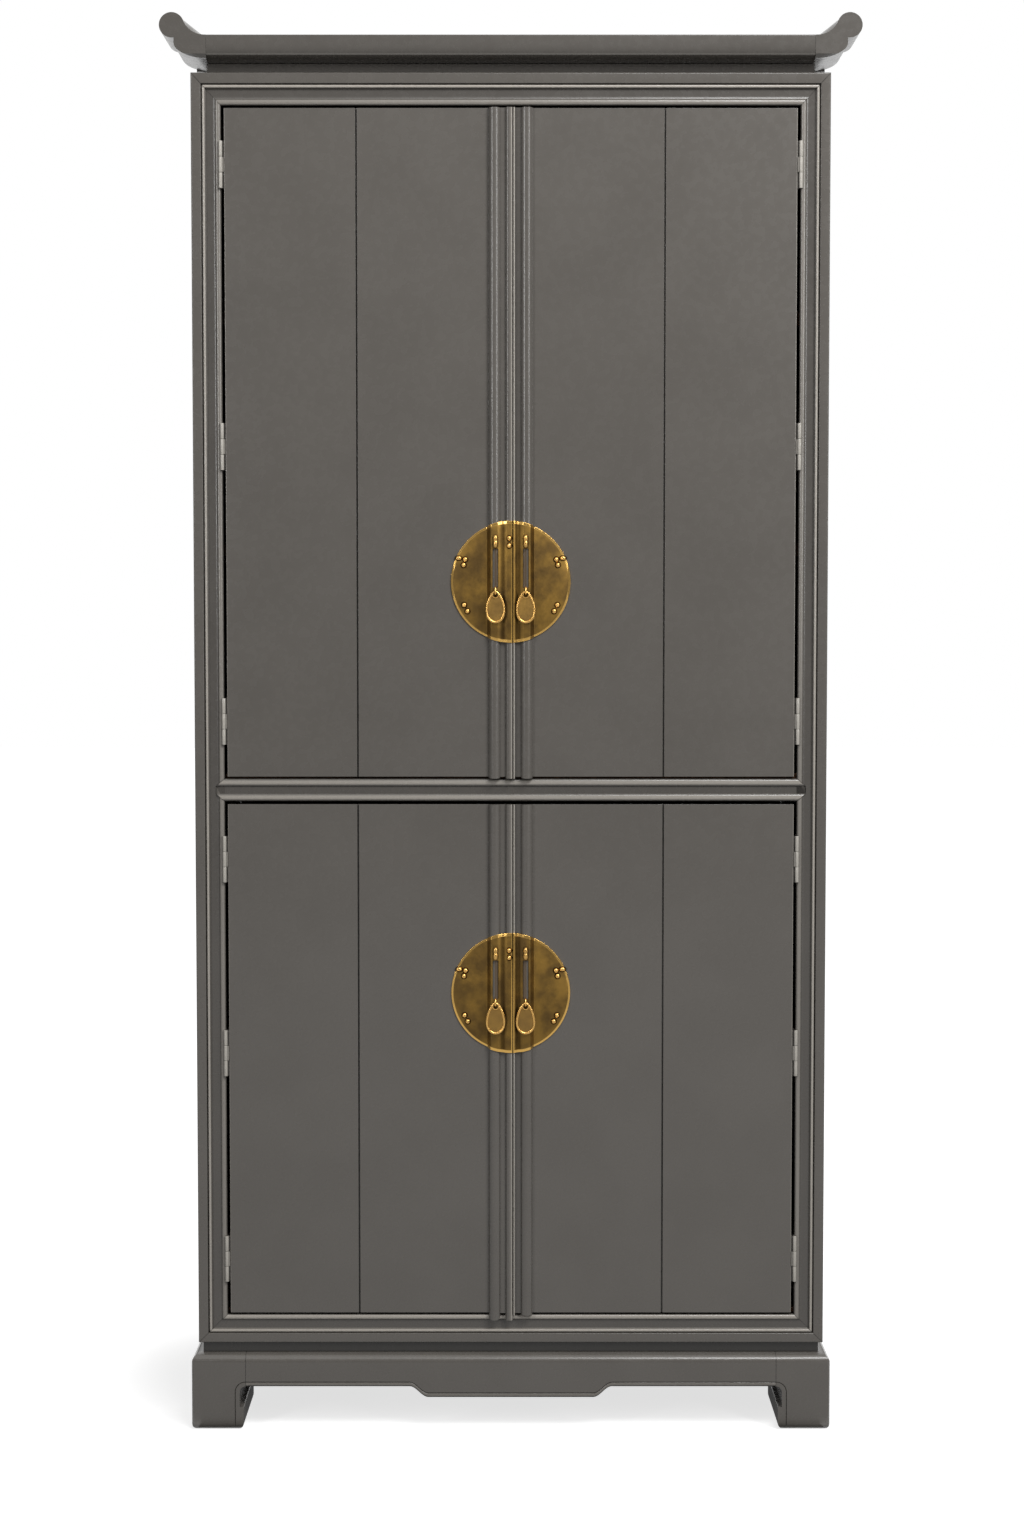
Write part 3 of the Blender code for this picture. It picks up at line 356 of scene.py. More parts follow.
def satin_lacquer(name, light, dark, rough, rubbed_and_highlighted=LACQUER_PAINTED_HIGHLIGHT):
    """Satin lacquer: cloudy colour, painted highlight and shade, a slightly uneven gloss under a thin clear
    coat.
    """
    material, tree, shader, place = new_finish(name)
    cloud = add(tree, "TexNoise", {"Vector": place, "Scale": 1 / CLOUD_SIZE, "Detail": 3.0})
    patch = add(tree, "TexNoise", {"Vector": place, "Scale": 1 / GLOSS_PATCH, "Detail": 4.0})
    crest = add(tree, "Attribute", {}, "Fac", attribute_name="crest")
    stain = add(tree, "Attribute", {}, "Fac", attribute_name="stain")
    cloud = add(tree, "MapRange", {0: cloud, 1: 0.3, 2: 0.7}, **SMOOTH)
    colour = add(tree, "Mix", {0: cloud, 6: dark, 7: light}, **COLOUR)
    # A painted highlight on the crests
    colour = add(tree, "Mix", {0: crest, 6: colour, 7: rubbed_and_highlighted}, **COLOUR)
    # Painted shade, black in the gaps, and the dark glaze of the joints
    colour = add(tree, "Mix", {0: stain, 6: colour, 7: LACQUER_BLACK}, **COLOUR)
    gloss = add(tree, "MapRange", {0: patch, 1: 0.3, 2: 0.7, 3: rough - 0.03, 4: rough + 0.04}, **SMOOTH)
    connect(tree, shader, {"Base Color": colour, "Roughness": gloss, "IOR": 1.5})
    connect(tree, shader, {"Coat Weight": 0.3, "Coat Roughness": 0.2})
    return material


lacquer = satin_lacquer("grey_satin_lacquer", LACQUER_LIGHT, LACQUER_DARK, 0.26)
# The neck's darker lacquer is painted shade.
neck_shade_lacquer = satin_lacquer("dark_neck_lacquer", "2d2b28", "2a2825", 0.3)
# The brown lacquer of the sheet in the slots is painted shade.
slot_shade_lacquer = satin_lacquer("browned_slot_lacquer", "5b4c3a", "564735", 0.3)
# The hinge's lighter colour is a painted highlight on its knuckles.
hinge_paint = satin_lacquer("painted_hinge_steel", "66625d", "5c5853", 0.26, "b9b4ab")
print("finishes", lacquer.name, neck_shade_lacquer.name, slot_shade_lacquer.name, hinge_paint.name)

# %% [markdown]
# ## Walnut veneer
#
# The inside is veneered. Walnut has long brown figure along the board, here 500 mm long and 25 mm wide, and
# fine dark pores, 33 mm long and 1.1 mm apart. Both are noise that is stretched along the grain, and the
# scales say how often they repeat in a metre.

# %% Veneer
FIGURE_PER_METRE, PORES_PER_METRE = (2, 40, 40), (30, 900, 900)
walnut, tree, shader, place = new_finish("walnut_veneer")
stretched = add(tree, "Mapping", {"Vector": place, "Scale": FIGURE_PER_METRE})
figure = add(tree, "TexNoise", {"Vector": stretched, "Scale": 1.0, "Detail": 5.0})
stretched = add(tree, "Mapping", {"Vector": place, "Scale": PORES_PER_METRE})
pores = add(tree, "TexNoise", {"Vector": stretched, "Scale": 1.0, "Detail": 2.0})
streak = add(tree, "MapRange", {0: figure, 1: 0.32, 2: 0.68}, **SMOOTH)
wood = add(tree, "Mix", {0: streak, 6: "4a2f1e", 7: "7b5435"}, **COLOUR)
dark = add(tree, "MapRange", {0: pores, 1: 0.62, 2: 0.72, 3: 0.0, 4: 0.5}, **SMOOTH)
wood = add(tree, "Mix", {0: dark, 6: wood, 7: "2c1a10"}, **COLOUR)
gloss = add(tree, "MapRange", {0: figure, 1: 0.3, 2: 0.7, 3: 0.42, 4: 0.55}, **SMOOTH)
relief = add(tree, "Bump", {"Height": pores, "Strength": 0.08, "Distance": 0.4 * MM})
connect(tree, shader, {"Base Color": wood, "Roughness": gloss, "Normal": relief})
print("finish", walnut.name)

# %% [markdown]
# ## Antique brass
#
# The plates are sheet brass that was stained brown and then rubbed, so the flats stay dull and mottled
# while rims and crests shine. Each plate carries its own UV map, in plate radii from its centre: the rub
# follows the rim by the distance from that centre, and the split by the distance across. Studs, drops and
# eyes are cast: their crests are rubbed bright and their faces are brown. Dark patina in the hollows, in a
# drop's hole and where the cast pieces meet the plate is darkened further as painted shade.

# %% Brass
BRASS_RUBBED, BRASS_RIM = "eebd6e", "edbe6a"
# Brown, gold, and the dark patina that also serves as painted shade
BRASS_BROWN, BRASS_GOLD, BRASS_PATINA_AND_SHADE = "624d2d", "8f7038", "2a1d0e"
BROWN_CLOUD, BROWN_GRAIN = 30 * MM, 4 * MM
RIM_START, RIM_FULL, SPLIT_MIDDLE, SPLIT_FULL, SPLIT_END = 0.960, 0.977, 0.034, 0.018, 0.030
FACE_CREST = 0.35


def antique_brass(name, rim_of_plate):
    """Stained and rubbed brass, brightest on a plate's rim and split and a cast piece's crests, darkest with
    patina and painted shade.
    """
    material, tree, shader, place = new_finish(name)
    cloud = add(tree, "TexNoise", {"Vector": place, "Scale": 1 / BROWN_CLOUD, "Detail": 6.0})
    grain = add(tree, "TexNoise", {"Vector": place, "Scale": 1 / BROWN_GRAIN, "Detail": 3.0})
    crest = add(tree, "Attribute", {}, "Fac", attribute_name="crest")
    cloud = add(tree, "MapRange", {0: cloud, 1: 0.3, 2: 0.7}, **SMOOTH)
    colour = add(tree, "Mix", {0: cloud, 6: BRASS_BROWN, 7: BRASS_GOLD}, **COLOUR)
    # Below the face's level the colour turns to dark patina, which also serves as painted shade
    clear_of_patina_and_shade = add(tree, "MapRange", {0: crest, 1: 0.0, 2: FACE_CREST}, **SMOOTH)
    colour = add(tree, "Mix", {0: clear_of_patina_and_shade, 6: BRASS_PATINA_AND_SHADE, 7: colour}, **COLOUR)
    if rim_of_plate:
        flat = add(tree, "UVMap", {}, uv_map="plate_radii")
        radius = add(tree, "VectorMath", {0: flat}, "Value", operation="LENGTH")
        rim = add(tree, "MapRange", {0: radius, 1: RIM_START, 2: RIM_FULL}, **SMOOTH)
        across = add(tree, "SeparateXYZ", {0: flat}, "X")
        beside = add(tree, "Math", {0: across, 1: SPLIT_MIDDLE}, operation="SUBTRACT")
        beside = add(tree, "Math", {0: beside}, operation="ABSOLUTE")
        split = add(tree, "MapRange", {0: beside, 1: SPLIT_FULL, 2: SPLIT_END, 3: 1.0, 4: 0.0}, **SMOOTH)
        rub_and_highlight = add(tree, "Math", {0: rim, 1: split}, operation="MAXIMUM")
    else:
        rub_and_highlight = add(tree, "MapRange", {0: crest, 1: FACE_CREST, 2: 1.0}, **SMOOTH)
    bright = BRASS_RIM if rim_of_plate else BRASS_RUBBED
    colour = add(tree, "Mix", {0: rub_and_highlight, 6: colour, 7: bright}, **COLOUR)
    dull = add(tree, "MapRange", {0: grain, 1: 0.3, 2: 0.7, 3: 0.46, 4: 0.58}, **SMOOTH)
    gloss = add(tree, "Mix", {0: rub_and_highlight, 2: dull, 3: 0.26}, data_type="FLOAT")
    relief = add(tree, "Bump", {"Height": grain, "Strength": 0.03, "Distance": 0.2 * MM})
    connect(tree, shader, {"Base Color": colour, "Metallic": 1.0, "Roughness": gloss, "Normal": relief})
    return material


sheet_brass = antique_brass("antique_sheet_brass", True)
cast_brass = antique_brass("antique_cast_brass", False)
print("finishes", sheet_brass.name, cast_brass.name)

# %% [markdown]
# ## Pieces and plain boards
#
# A new piece is a shell with the nodes that it stands for, a finish and the body that it rides on. Sides,
# shelves, panels and the roof's neck board are right as they are. Their meshes stay untouched: Weld and a
# planar Decimate tidy the triangles while rendering, and a Bevel gives the edges the small round that
# sandpaper leaves.

# %% Pieces and boards
SHARP_ANGLE, FLAT_ANGLE = math.radians(35), math.radians(1)
WELD_DISTANCE = 1e-5
BOARD_EASE = 1.0 * MM
LACQUERED_BOARDS = ["left_side", "right_side", "roof_neck_board"]
SHELVES = ["upper_shelf_1", "upper_shelf_2", "lower_shelf_1"]
VENEERED_BOARDS = ["bottom_board", "middle_board", "top_board", "back_panel", *SHELVES]


def eased(piece, width, segments=3):
    """A Bevel that rounds the sharp edges of a piece, as sanding and lacquer do."""
    bevel = piece.modifiers.new("eased_edges", "BEVEL")
    bevel.width, bevel.segments = width, segments
    bevel.limit_method, bevel.angle_limit = "ANGLE", SHARP_ANGLE
    bevel.harden_normals = True


def make(name, shell, nodes=(), finish=lacquer, body="cabinet", ease=0, crest=None,
         stain=None):
    """A finished piece: the shell's mesh, the nodes it stands for, its material and the body it rides on.
    The first function gives, for an array of points, how much each is lightened: by a painted highlight on
    lacquer, by rubbing on brass, where low values give patina with painted shade. The second gives, for the
    centres and normals of the faces, how dark each face is made by painted shade and by joint glaze."""
    mesh = new_mesh(name, shell)
    if crest:
        rubbed_and_highlighted = np.clip(crest(vectors(mesh.vertices, "co")), 0, 1)
        mesh.attributes.new("crest", "FLOAT", "POINT").data.foreach_set("value", rubbed_and_highlighted)
    if stain:
        black = stain(vectors(mesh.polygons, "center"), vectors(mesh.polygons, "normal")).astype(float)
        mesh.attributes.new("stain", "FLOAT", "FACE").data.foreach_set("value", black)
    mesh.shade_smooth()
    mesh.set_sharp_from_angle(angle=SHARP_ANGLE)
    mesh.materials.append(finish)
    piece = new_object(name, mesh)
    if ease:
        eased(piece, ease)
    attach(piece, body)
    if nodes:
        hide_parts(*nodes)
    return piece


for names, finish in ((LACQUERED_BOARDS, lacquer), (VENEERED_BOARDS, walnut)):
    for node in names:
        board = frame["nodes"][node]
        board.data.materials.clear()
        board.data.materials.append(finish)
        board.modifiers.new("weld", "WELD").merge_threshold = WELD_DISTANCE
        planar = board.modifiers.new("planar", "DECIMATE")
        planar.decimate_type, planar.angle_limit = "DISSOLVE", FLAT_ANGLE
        eased(board, BOARD_EASE, segments=2)
print("boards", len(LACQUERED_BOARDS) + len(VENEERED_BOARDS))

# %% [markdown]
# ## Moulded face frame
#
# The frame is one moulding, planed along stiles and rails and mitred at the corners: a band with a rounded
# outer edge, a quirk, a bead, a quirk, a flat, a shallow cove and the inner bead. The painted highlight and
# the painted shade of a member follow the same profile, on its crests and in its recesses.

# %% Frame profile
FRAME_THICKNESS, BAND_EASE, BAND_CHAMFER = 22 * MM, 1.8 * MM, 1.0 * MM
QUIRK_WIDTH, QUIRK_DEPTH = 1.6 * MM, 5 * MM
BEAD_WIDTH, BEAD_BASE, BEAD_CREST = 4.4 * MM, 2.4 * MM, 0.5 * MM
FLAT_WIDTH, FLAT_DEPTH = 8.1 * MM, 5.4 * MM
COVE_WIDTH, COVE_TOP = 5 * MM, 3.9 * MM
INNER_BEAD_WIDTH, INNER_BEAD_CREST, INNER_BEAD_EDGE = 8 * MM, 2 * MM, 6 * MM
RECESS_SHADE, JOINT_LINE, JOINT_GLAZE = 0.28, 0.7 * MM, 0.45
BOTTOM_RAIL, TOP_RAIL = bottom_high[2] - bottom_low[2], top_high[2] - top_low[2]
# How squarely a face looks along an axis: about 53, 26 and 8 degrees from it
FACING, SQUARE, DEAD_SQUARE = 0.6, 0.9, 0.99
bead_end = STILE_WIDTH - INNER_BEAD_WIDTH - COVE_WIDTH - FLAT_WIDTH - QUIRK_WIDTH
bead_start = bead_end - BEAD_WIDTH


def frame_profile(width):
    """(distance from the outer edge, depth behind the face) of the moulding, spread to a member's width."""
    band_end = bead_start - QUIRK_WIDTH
    flat_start, flat_end = bead_end + QUIRK_WIDTH, bead_end + QUIRK_WIDTH + FLAT_WIDTH
    inner_start = STILE_WIDTH - INNER_BEAD_WIDTH
    profile = outline(
        [(0, FRAME_THICKNESS)],
        quarter((0, BAND_EASE), (BAND_EASE, 0), True),
        quarter((band_end - BAND_CHAMFER, 0), (band_end, BAND_CHAMFER), False, SMALL_ARC_STEPS),
        [(band_end + QUIRK_WIDTH / 2, QUIRK_DEPTH)],
        crown(bead_start, BEAD_BASE, bead_end, BEAD_BASE, BEAD_CREST),
        [(flat_start, FLAT_DEPTH), (flat_end, FLAT_DEPTH)],
        quarter((flat_end, FLAT_DEPTH), (inner_start, COVE_TOP), False),
        crown(inner_start, COVE_TOP, STILE_WIDTH, INNER_BEAD_EDGE, INNER_BEAD_CREST),
        [(STILE_WIDTH, FRAME_THICKNESS)],
    )
    return profile * (width / STILE_WIDTH, 1)


def bell(distance, reach):
    """1 at no distance, falling smoothly to nothing a little beyond the reach."""
    return np.exp(-((distance / reach) ** 4))


def bead_highlight(across, inner_highlight, share):
    """The painted highlight along the two beads, from the share of the member's width at which a point lies.
    """
    place = across * STILE_WIDTH
    small = bell(place - (bead_start + bead_end) / 2, share * BEAD_WIDTH)
    return small + inner_highlight * bell(place - STILE_WIDTH + INNER_BEAD_WIDTH / 2, 0.4 * INNER_BEAD_WIDTH)


def frame_shade_and_glaze(axis, outer_edge):
    """The darkening of a member's faces: black painted shade where a face behind the beads looks across a
    gap, painted shade that grows with the depth of a recess, and a line of dark glaze along the mitres,
    where a point's share of the stile's width is also its share of the rail's. Faces close to the member's
    outer edge get no painted shade."""
    def stain(centres, normals):
        """For each face, the greatest of the three."""
        depth = centres[:, 1] - FACE_Y
        inside = abs(centres[:, axis] - outer_edge) > STILE_WIDTH / 3
        gap = (depth > INNER_BEAD_EDGE) & (abs(normals[:, axis]) > SQUARE)
        recess = RECESS_SHADE * np.clip((depth - BEAD_BASE) / (FLAT_DEPTH - BEAD_BASE), 0, 1)
        of_stile = (HALF_WIDTH - abs(centres[:, 0])) / STILE_WIDTH
        above, below = centres[:, 2] - CARCASS_Z, CARCASS_TOP - centres[:, 2]
        of_rail = np.minimum(above / BOTTOM_RAIL, below / TOP_RAIL)
        mitre = JOINT_GLAZE * (abs(of_stile - of_rail) * STILE_WIDTH < JOINT_LINE)
        return np.maximum(inside * np.maximum(gap, recess), mitre)
    return stain


print("moulding of", len(frame_profile(STILE_WIDTH)), "points")

# %% [markdown]
# ## Stiles and rails
#
# A mitre needs no cut: each point of the profile simply ends where the corner's diagonal passes. A narrow
# ring at each end holds the glazed joint. The middle rail ends in a bird's mouth, and the stiles get its
# notch and the hinge seats by Boolean.

# %% Stiles and rails
MIDDLE_BEAD_WIDTH, MIDDLE_HIGHLIGHT, MIDDLE_HIGHLIGHT_REACH = 11.5 * MM, 0.8, 3 * MM
KNUCKLE_RADIUS, KNUCKLE_GAP, HINGE_LENGTH = 3.1 * MM, 0.4 * MM, 68 * MM
MITRE_DEPTH, SEAT_SIDES = COVE_WIDTH + INNER_BEAD_WIDTH, 24
# The painted highlight on the inner bead, and the share of the small bead's width that carries it
STILE_HIGHLIGHT, TOP_HIGHLIGHT, BOTTOM_HIGHLIGHT = (0.4, 0.4), (0.45, 0.4), (1.0, 0.55)
middle_low, middle_high = corners("middle_rail")
MIDDLE_RAIL_Z, MIDDLE_RAIL_TOP = middle_low[2], middle_high[2]
MIDDLE_RAIL = MIDDLE_RAIL_TOP - MIDDLE_RAIL_Z


def stile_highlight(points):
    """The painted highlight on the stiles' beads."""
    return bead_highlight((HALF_WIDTH - abs(points[:, 0])) / STILE_WIDTH, *STILE_HIGHLIGHT)


def middle_highlight(points):
    """The painted highlight on the middle rail's two beads."""
    from_middle = abs(points[:, 2] - MIDDLE_RAIL_Z - MIDDLE_RAIL / 2)
    return MIDDLE_HIGHLIGHT * bell(from_middle - (MIDDLE_RAIL / 2 - MIDDLE_BEAD_WIDTH / 2), MIDDLE_HIGHLIGHT_REACH)


mouth, throat = OPENING_HALF - MITRE_DEPTH, OPENING_HALF + MITRE_DEPTH + SEAT
low, high = MIDDLE_RAIL_Z - SEAT, MIDDLE_RAIL_TOP + SEAT
notch = np.array([
    (mouth, low - MIDDLE_BEAD_WIDTH), (throat, low + MIDDLE_BEAD_WIDTH),
    (throat, high - MIDDLE_BEAD_WIDTH), (mouth, high + MIDDLE_BEAD_WIDTH),
])
seat_radius, seat_reach = KNUCKLE_RADIUS + KNUCKLE_GAP, HINGE_LENGTH / 2 + SEAT
seat = [(seat_radius, -seat_reach), (seat_radius, seat_reach)]
across, depth = frame_profile(STILE_WIDTH).T
low = CARCASS_Z + across * BOTTOM_RAIL / STILE_WIDTH + SEAT
high = CARCASS_TOP - across * TOP_RAIL / STILE_WIDTH - SEAT
for side, sign in SIDES.items():
    x, y = sign * (HALF_WIDTH - across), FACE_Y + depth
    stile = sweep([columns(x, y, z) for z in (low, low + JOINT_LINE, high - JOINT_LINE, high)])
    cutter = prism(notch * (sign, 1), "Y", FACE_Y - FRAME_THICKNESS, FACE_Y + 2 * FRAME_THICKNESS)
    places = np.concatenate([door.hinges for door in doors if door.side == side])
    seats = [("DIFFERENCE", turned(seat, place, "Z", SEAT_SIDES)) for place in places]
    make(f"moulded_{side}_stile", carve(stile, ("DIFFERENCE", cutter), *seats), [f"{side}_stile"],
         crest=stile_highlight, stain=frame_shade_and_glaze(0, sign * HALF_WIDTH))

for name, width, edge, inward, rub_and_highlight in (
        ("top_rail", TOP_RAIL, CARCASS_TOP, -1, TOP_HIGHLIGHT),
        ("bottom_rail", BOTTOM_RAIL, CARCASS_Z, 1, BOTTOM_HIGHLIGHT)):
    across, depth = frame_profile(width).T
    reach = HALF_WIDTH - across * STILE_WIDTH / width
    y, z = FACE_Y + depth, edge + inward * across
    rail = sweep([columns(x, y, z) for x in (-reach, JOINT_LINE - reach, reach - JOINT_LINE, reach)])
    make(f"moulded_{name}", rail, [name], stain=frame_shade_and_glaze(2, edge),
         crest=lambda points: bead_highlight(abs(points[:, 2] - edge) / width, *rub_and_highlight))

# The middle rail's ends: the reach grows with the distance from the nearer edge, up to the bead's width
up, depth = outline(
    [(0, FRAME_THICKNESS)],
    crown(0, INNER_BEAD_EDGE, MIDDLE_BEAD_WIDTH, FLAT_DEPTH, INNER_BEAD_CREST),
    crown(MIDDLE_RAIL - MIDDLE_BEAD_WIDTH, FLAT_DEPTH, MIDDLE_RAIL, INNER_BEAD_EDGE, INNER_BEAD_CREST),
    [(MIDDLE_RAIL, FRAME_THICKNESS)],
).T
nearer = np.minimum(np.minimum(up, MIDDLE_RAIL - up), MIDDLE_BEAD_WIDTH)
reach = OPENING_HALF - SEAT + MITRE_DEPTH * nearer / MIDDLE_BEAD_WIDTH
rail = sweep([columns(x, FACE_Y + depth, MIDDLE_RAIL_Z + up) for x in (-reach, reach)])
make("moulded_middle_rail", rail, ["middle_rail"], crest=middle_highlight, stain=frame_shade_and_glaze(2, 0))
print("face frame of 5 members,", sum(len(door.hinges) for door in doors), "hinge seats")

# %% [markdown]
# ## Roof board
#
# The roof board is a plank whose front is a little bowed, so that it catches light above and falls into
# shade below, and undercut towards the neck. Painted shade darkens the face towards its foot and on the
# undercut, and a painted highlight runs along the arris between them. Its section is swept along the front
# and joined to a plain board behind.

# %% Roof board
FASCIA_BOW, FASCIA_EDGE, FASCIA_FOOT, FASCIA_ARRIS = 1 * MM, 0.8 * MM, 5.2 * MM, 1.3 * MM
# The undercut's depth and painted shade, the arris's painted highlight, then the face's painted shade and
# its share at the top
UNDERCUT_SHARE, UNDERCUT_SHADE, ARRIS_HIGHLIGHT = 0.36, 0.15, 0.3
FASCIA_SHADE, FASCIA_TOP_SHARE, FASCIA_STATIONS = 0.5, 0.3, 17
roof_low, roof_high = corners("roof_board")
scroll_low, scroll_high = corners("right_scroll_end")
face_top, face_low = roof_high[2] - FASCIA_EDGE, roof_low[2] + FASCIA_FOOT
undercut = UNDERCUT_SHARE * (corners("roof_neck_board")[0][1] - roof_low[1])
fascia_back = scroll_high[1] - roof_low[1] + SEAT
fall = np.linspace(0, 1, FASCIA_STATIONS)
section = outline(
    quarter((FASCIA_EDGE, roof_high[2]), (0, face_top), False, SMALL_ARC_STEPS),
    columns(FASCIA_BOW * fall**4, face_top + (face_low - face_top) * fall),
    [(FASCIA_BOW + FASCIA_EDGE, face_low - FASCIA_ARRIS), (undercut, roof_low[2])],
    [(fascia_back, roof_low[2]), (fascia_back, roof_high[2])],
)


def fascia_arris_highlight(points):
    """A painted highlight along the arris under the roof's face."""
    return ARRIS_HIGHLIGHT * bell(points[:, 2] - face_low + FASCIA_ARRIS / 2, FASCIA_ARRIS)


def fascia_painted_shade(centres, normals):
    """Painted shade under the roof's edge: on the undercut, and above it by the 4th power of the fall."""
    down = np.clip((face_top - centres[:, 2]) / (face_top - face_low), 0, 1)
    front = centres[:, 1] < roof_low[1] + undercut
    strength = FASCIA_SHADE * (FASCIA_TOP_SHARE + (1 - FASCIA_TOP_SHARE) * down**4)
    below = front & (normals[:, 2] < -FACING)
    return np.where(below, UNDERCUT_SHADE, strength * (front & (normals[:, 1] < -FACING)))


reach = scroll_low[0] - SEAT
fascia = prism(section + (roof_low[1], 0), "X", -reach, reach)
rear_low = (-HALF_WIDTH, scroll_high[1] + SEAT, roof_low[2])
rear = block(rear_low, (HALF_WIDTH, roof_high[1], roof_high[2]))
roof = carve(fascia, ("UNION", rear))
make("bowed_roof_board", roof, ["roof_board"], crest=fascia_arris_highlight, stain=fascia_painted_shade)
print("roof board,", len(section), "points in its section")

# %% [markdown]
# ## Scroll ends
#
# At each front corner the roof carries a block that sweeps up into a round scroll. From the front its top
# edge is hollow; a little further back the hollow fills into a straight ramp, so the top is scooped. Two
# outlines with the same number of points are worked out, and the rings from front to back blend from one to
# the other.

# %% Scroll ends
ROOF_CHAMFER, TOP_LAND, HEAD_RADIUS, SCROLL_EASE = 5.4 * MM, 2.5 * MM, 18 * MM, 0.8 * MM
NOTCH_INSET, NOTCH_DROP = 20.9 * MM, 7.8 * MM
SCOOP_DEPTH, SCOOP_STATIONS = 25 * MM, 10


def scroll_outline(hollowed):
    """(distance from the middle, height): a land, then a hollow arc or a straight ramp up to the round head,
    the head's circle, a notch under it, and a quarter ellipse down to the roof board's lower edge."""
    land = np.array([scroll_low[0] + TOP_LAND, roof_high[2]])
    head = np.array([scroll_high[0] - HEAD_RADIUS, scroll_high[2] - HEAD_RADIUS])
    run, rise = head - land
    if hollowed:
        radius = (run**2 - HEAD_RADIUS**2 + rise**2) / (2 * (HEAD_RADIUS + rise))
        lean = math.atan2(rise - radius, run)
        ascent = arc((land[0], land[1] + radius), radius, -np.pi / 2, lean, 2 * ARC_STEPS)
        head_turn = lean + np.pi
    else:
        head_turn = math.atan2(rise, run) + np.pi - math.acos(HEAD_RADIUS / math.hypot(run, rise))
        end = head + HEAD_RADIUS * np.array([math.cos(head_turn), math.sin(head_turn)])
        ascent = np.linspace(land, end, 2 * ARC_STEPS + 1)
    notch = scroll_high[0] - NOTCH_INSET
    notch_turn = -math.acos((notch - head[0]) / HEAD_RADIUS)
    knee = (notch, head[1] + HEAD_RADIUS * math.sin(notch_turn) - NOTCH_DROP)
    return outline(
        [(scroll_low[0], roof_high[2])],
        ascent,
        arc(head, HEAD_RADIUS, head_turn, notch_turn, 6 * ARC_STEPS),
        quarter(knee, (scroll_low[0], roof_low[2]), True),
    )


def scroll_painted_shade(centres, normals):
    """Thin painted shade on the fronts of the scrolls, as at the top of the roof's face."""
    return FASCIA_TOP_SHARE * FASCIA_SHADE * (normals[:, 1] < -FACING)


front_view, ramp_view = scroll_outline(True), scroll_outline(False)
scoop = SCOOP_DEPTH * np.linspace(0, 1, SCOOP_STATIONS)
depths = np.unique(np.concatenate([[ROOF_CHAMFER], scoop, [scroll_high[1] - scroll_low[1]]]))
ease_in = np.clip(depths / SCOOP_DEPTH, 0, 1)[:, None, None]
views = front_view + (ramp_view - front_view) * ease_in * (2 - ease_in)
# The chamfer: near the front, nothing hangs lower than a plane that falls back at 45 degrees
lowest = roof_low[2] + np.clip(ROOF_CHAMFER - depths, 0, None)[:, None]
heights = np.maximum(views[:, :, 1], lowest)
for side, sign in SIDES.items():
    scroll = sweep(columns(sign * views[:, :, 0], scroll_low[1] + depths[:, None], heights))
    make(f"scrolled_{side}_end", scroll, [f"{side}_scroll_end"], ease=SCROLL_EASE, stain=scroll_painted_shade)
print("scroll ends,", len(depths), "rings each")

# %% [markdown]
# ## Aprons
#
# Aprons and bracket feet share one section: a rounded top edge, a flat, and a bead along the lower edge that
# an incised line sets off. Painted shade darkens the incised line, and on the front apron a painted
# highlight runs along the bead. The front apron's lower edge drops in an S towards the middle, so its
# section is worked out again at each place along it.

# %% Aprons
APRON_THICKNESS, APRON_EDGE, APRON_DROP = 30 * MM, 65.4 * MM, 16.2 * MM
APRON_DROP_HALF_WIDTH, APRON_SWEEP, SWEEP_STATIONS, APRON_BEAD_HIGHLIGHT = 122 * MM, 28 * MM, 25, 0.25
TOP_ROUND, BASE_SINK = 14 * MM, 6 * MM
EDGE_BEAD, EDGE_BEAD_GROOVE, EDGE_BEAD_ROUND, LINE_SHADE = 6.6 * MM, 1.2 * MM, 2.0 * MM, 0.45
FOOT_FACE, FOOT_JOINT, FOOT_SIDE = 71.2 * MM, 79.8 * MM, 150 * MM
foot_low, foot_high = corners("front_right_foot")
BASE_HALF, BASE_Y, BASE_TOP = foot_high[0], foot_low[1], foot_high[2] - BASE_SINK
BACK_Y = corners("back_right_foot")[1][1]


def apron_section(edge):
    """(depth behind the face, height) of an apron whose lower edge is at this height."""
    groove, half = edge + EDGE_BEAD, EDGE_BEAD_GROOVE / 2
    return outline(
        [(APRON_THICKNESS, edge)],
        crown(edge, EDGE_BEAD_ROUND, groove - half, EDGE_BEAD_GROOVE, 0)[:, ::-1],
        [(1.5 * EDGE_BEAD_GROOVE, groove), (0, groove + half)],
        quarter((0, BASE_TOP - TOP_ROUND), (TOP_ROUND, BASE_TOP), True),
        [(APRON_THICKNESS, BASE_TOP)],
    )


# The S of the lower edge is half a cosine wave over the sweep's length
apron_half = BASE_HALF - FOOT_JOINT - SEAT
wave = np.linspace(0, 1, SWEEP_STATIONS)
sweep_x = -APRON_DROP_HALF_WIDTH - APRON_SWEEP * (1 - wave)
left_x = np.concatenate([[-apron_half, JOINT_LINE - apron_half], sweep_x])
left_drop = np.concatenate([[0, 0], APRON_DROP * (1 - np.cos(np.pi * wave)) / 2])
apron_x = np.concatenate([left_x, -left_x[::-1]])
apron_drop = np.concatenate([left_drop, left_drop[::-1]])


def apron_bead_highlight(points):
    """The painted highlight of the front apron, on the crest of the bead that follows its lower edge."""
    edge = APRON_EDGE - np.interp(points[:, 0], apron_x, apron_drop)
    return APRON_BEAD_HIGHLIGHT * bell(points[:, 2] - edge - 0.55 * EDGE_BEAD, 0.2 * EDGE_BEAD)


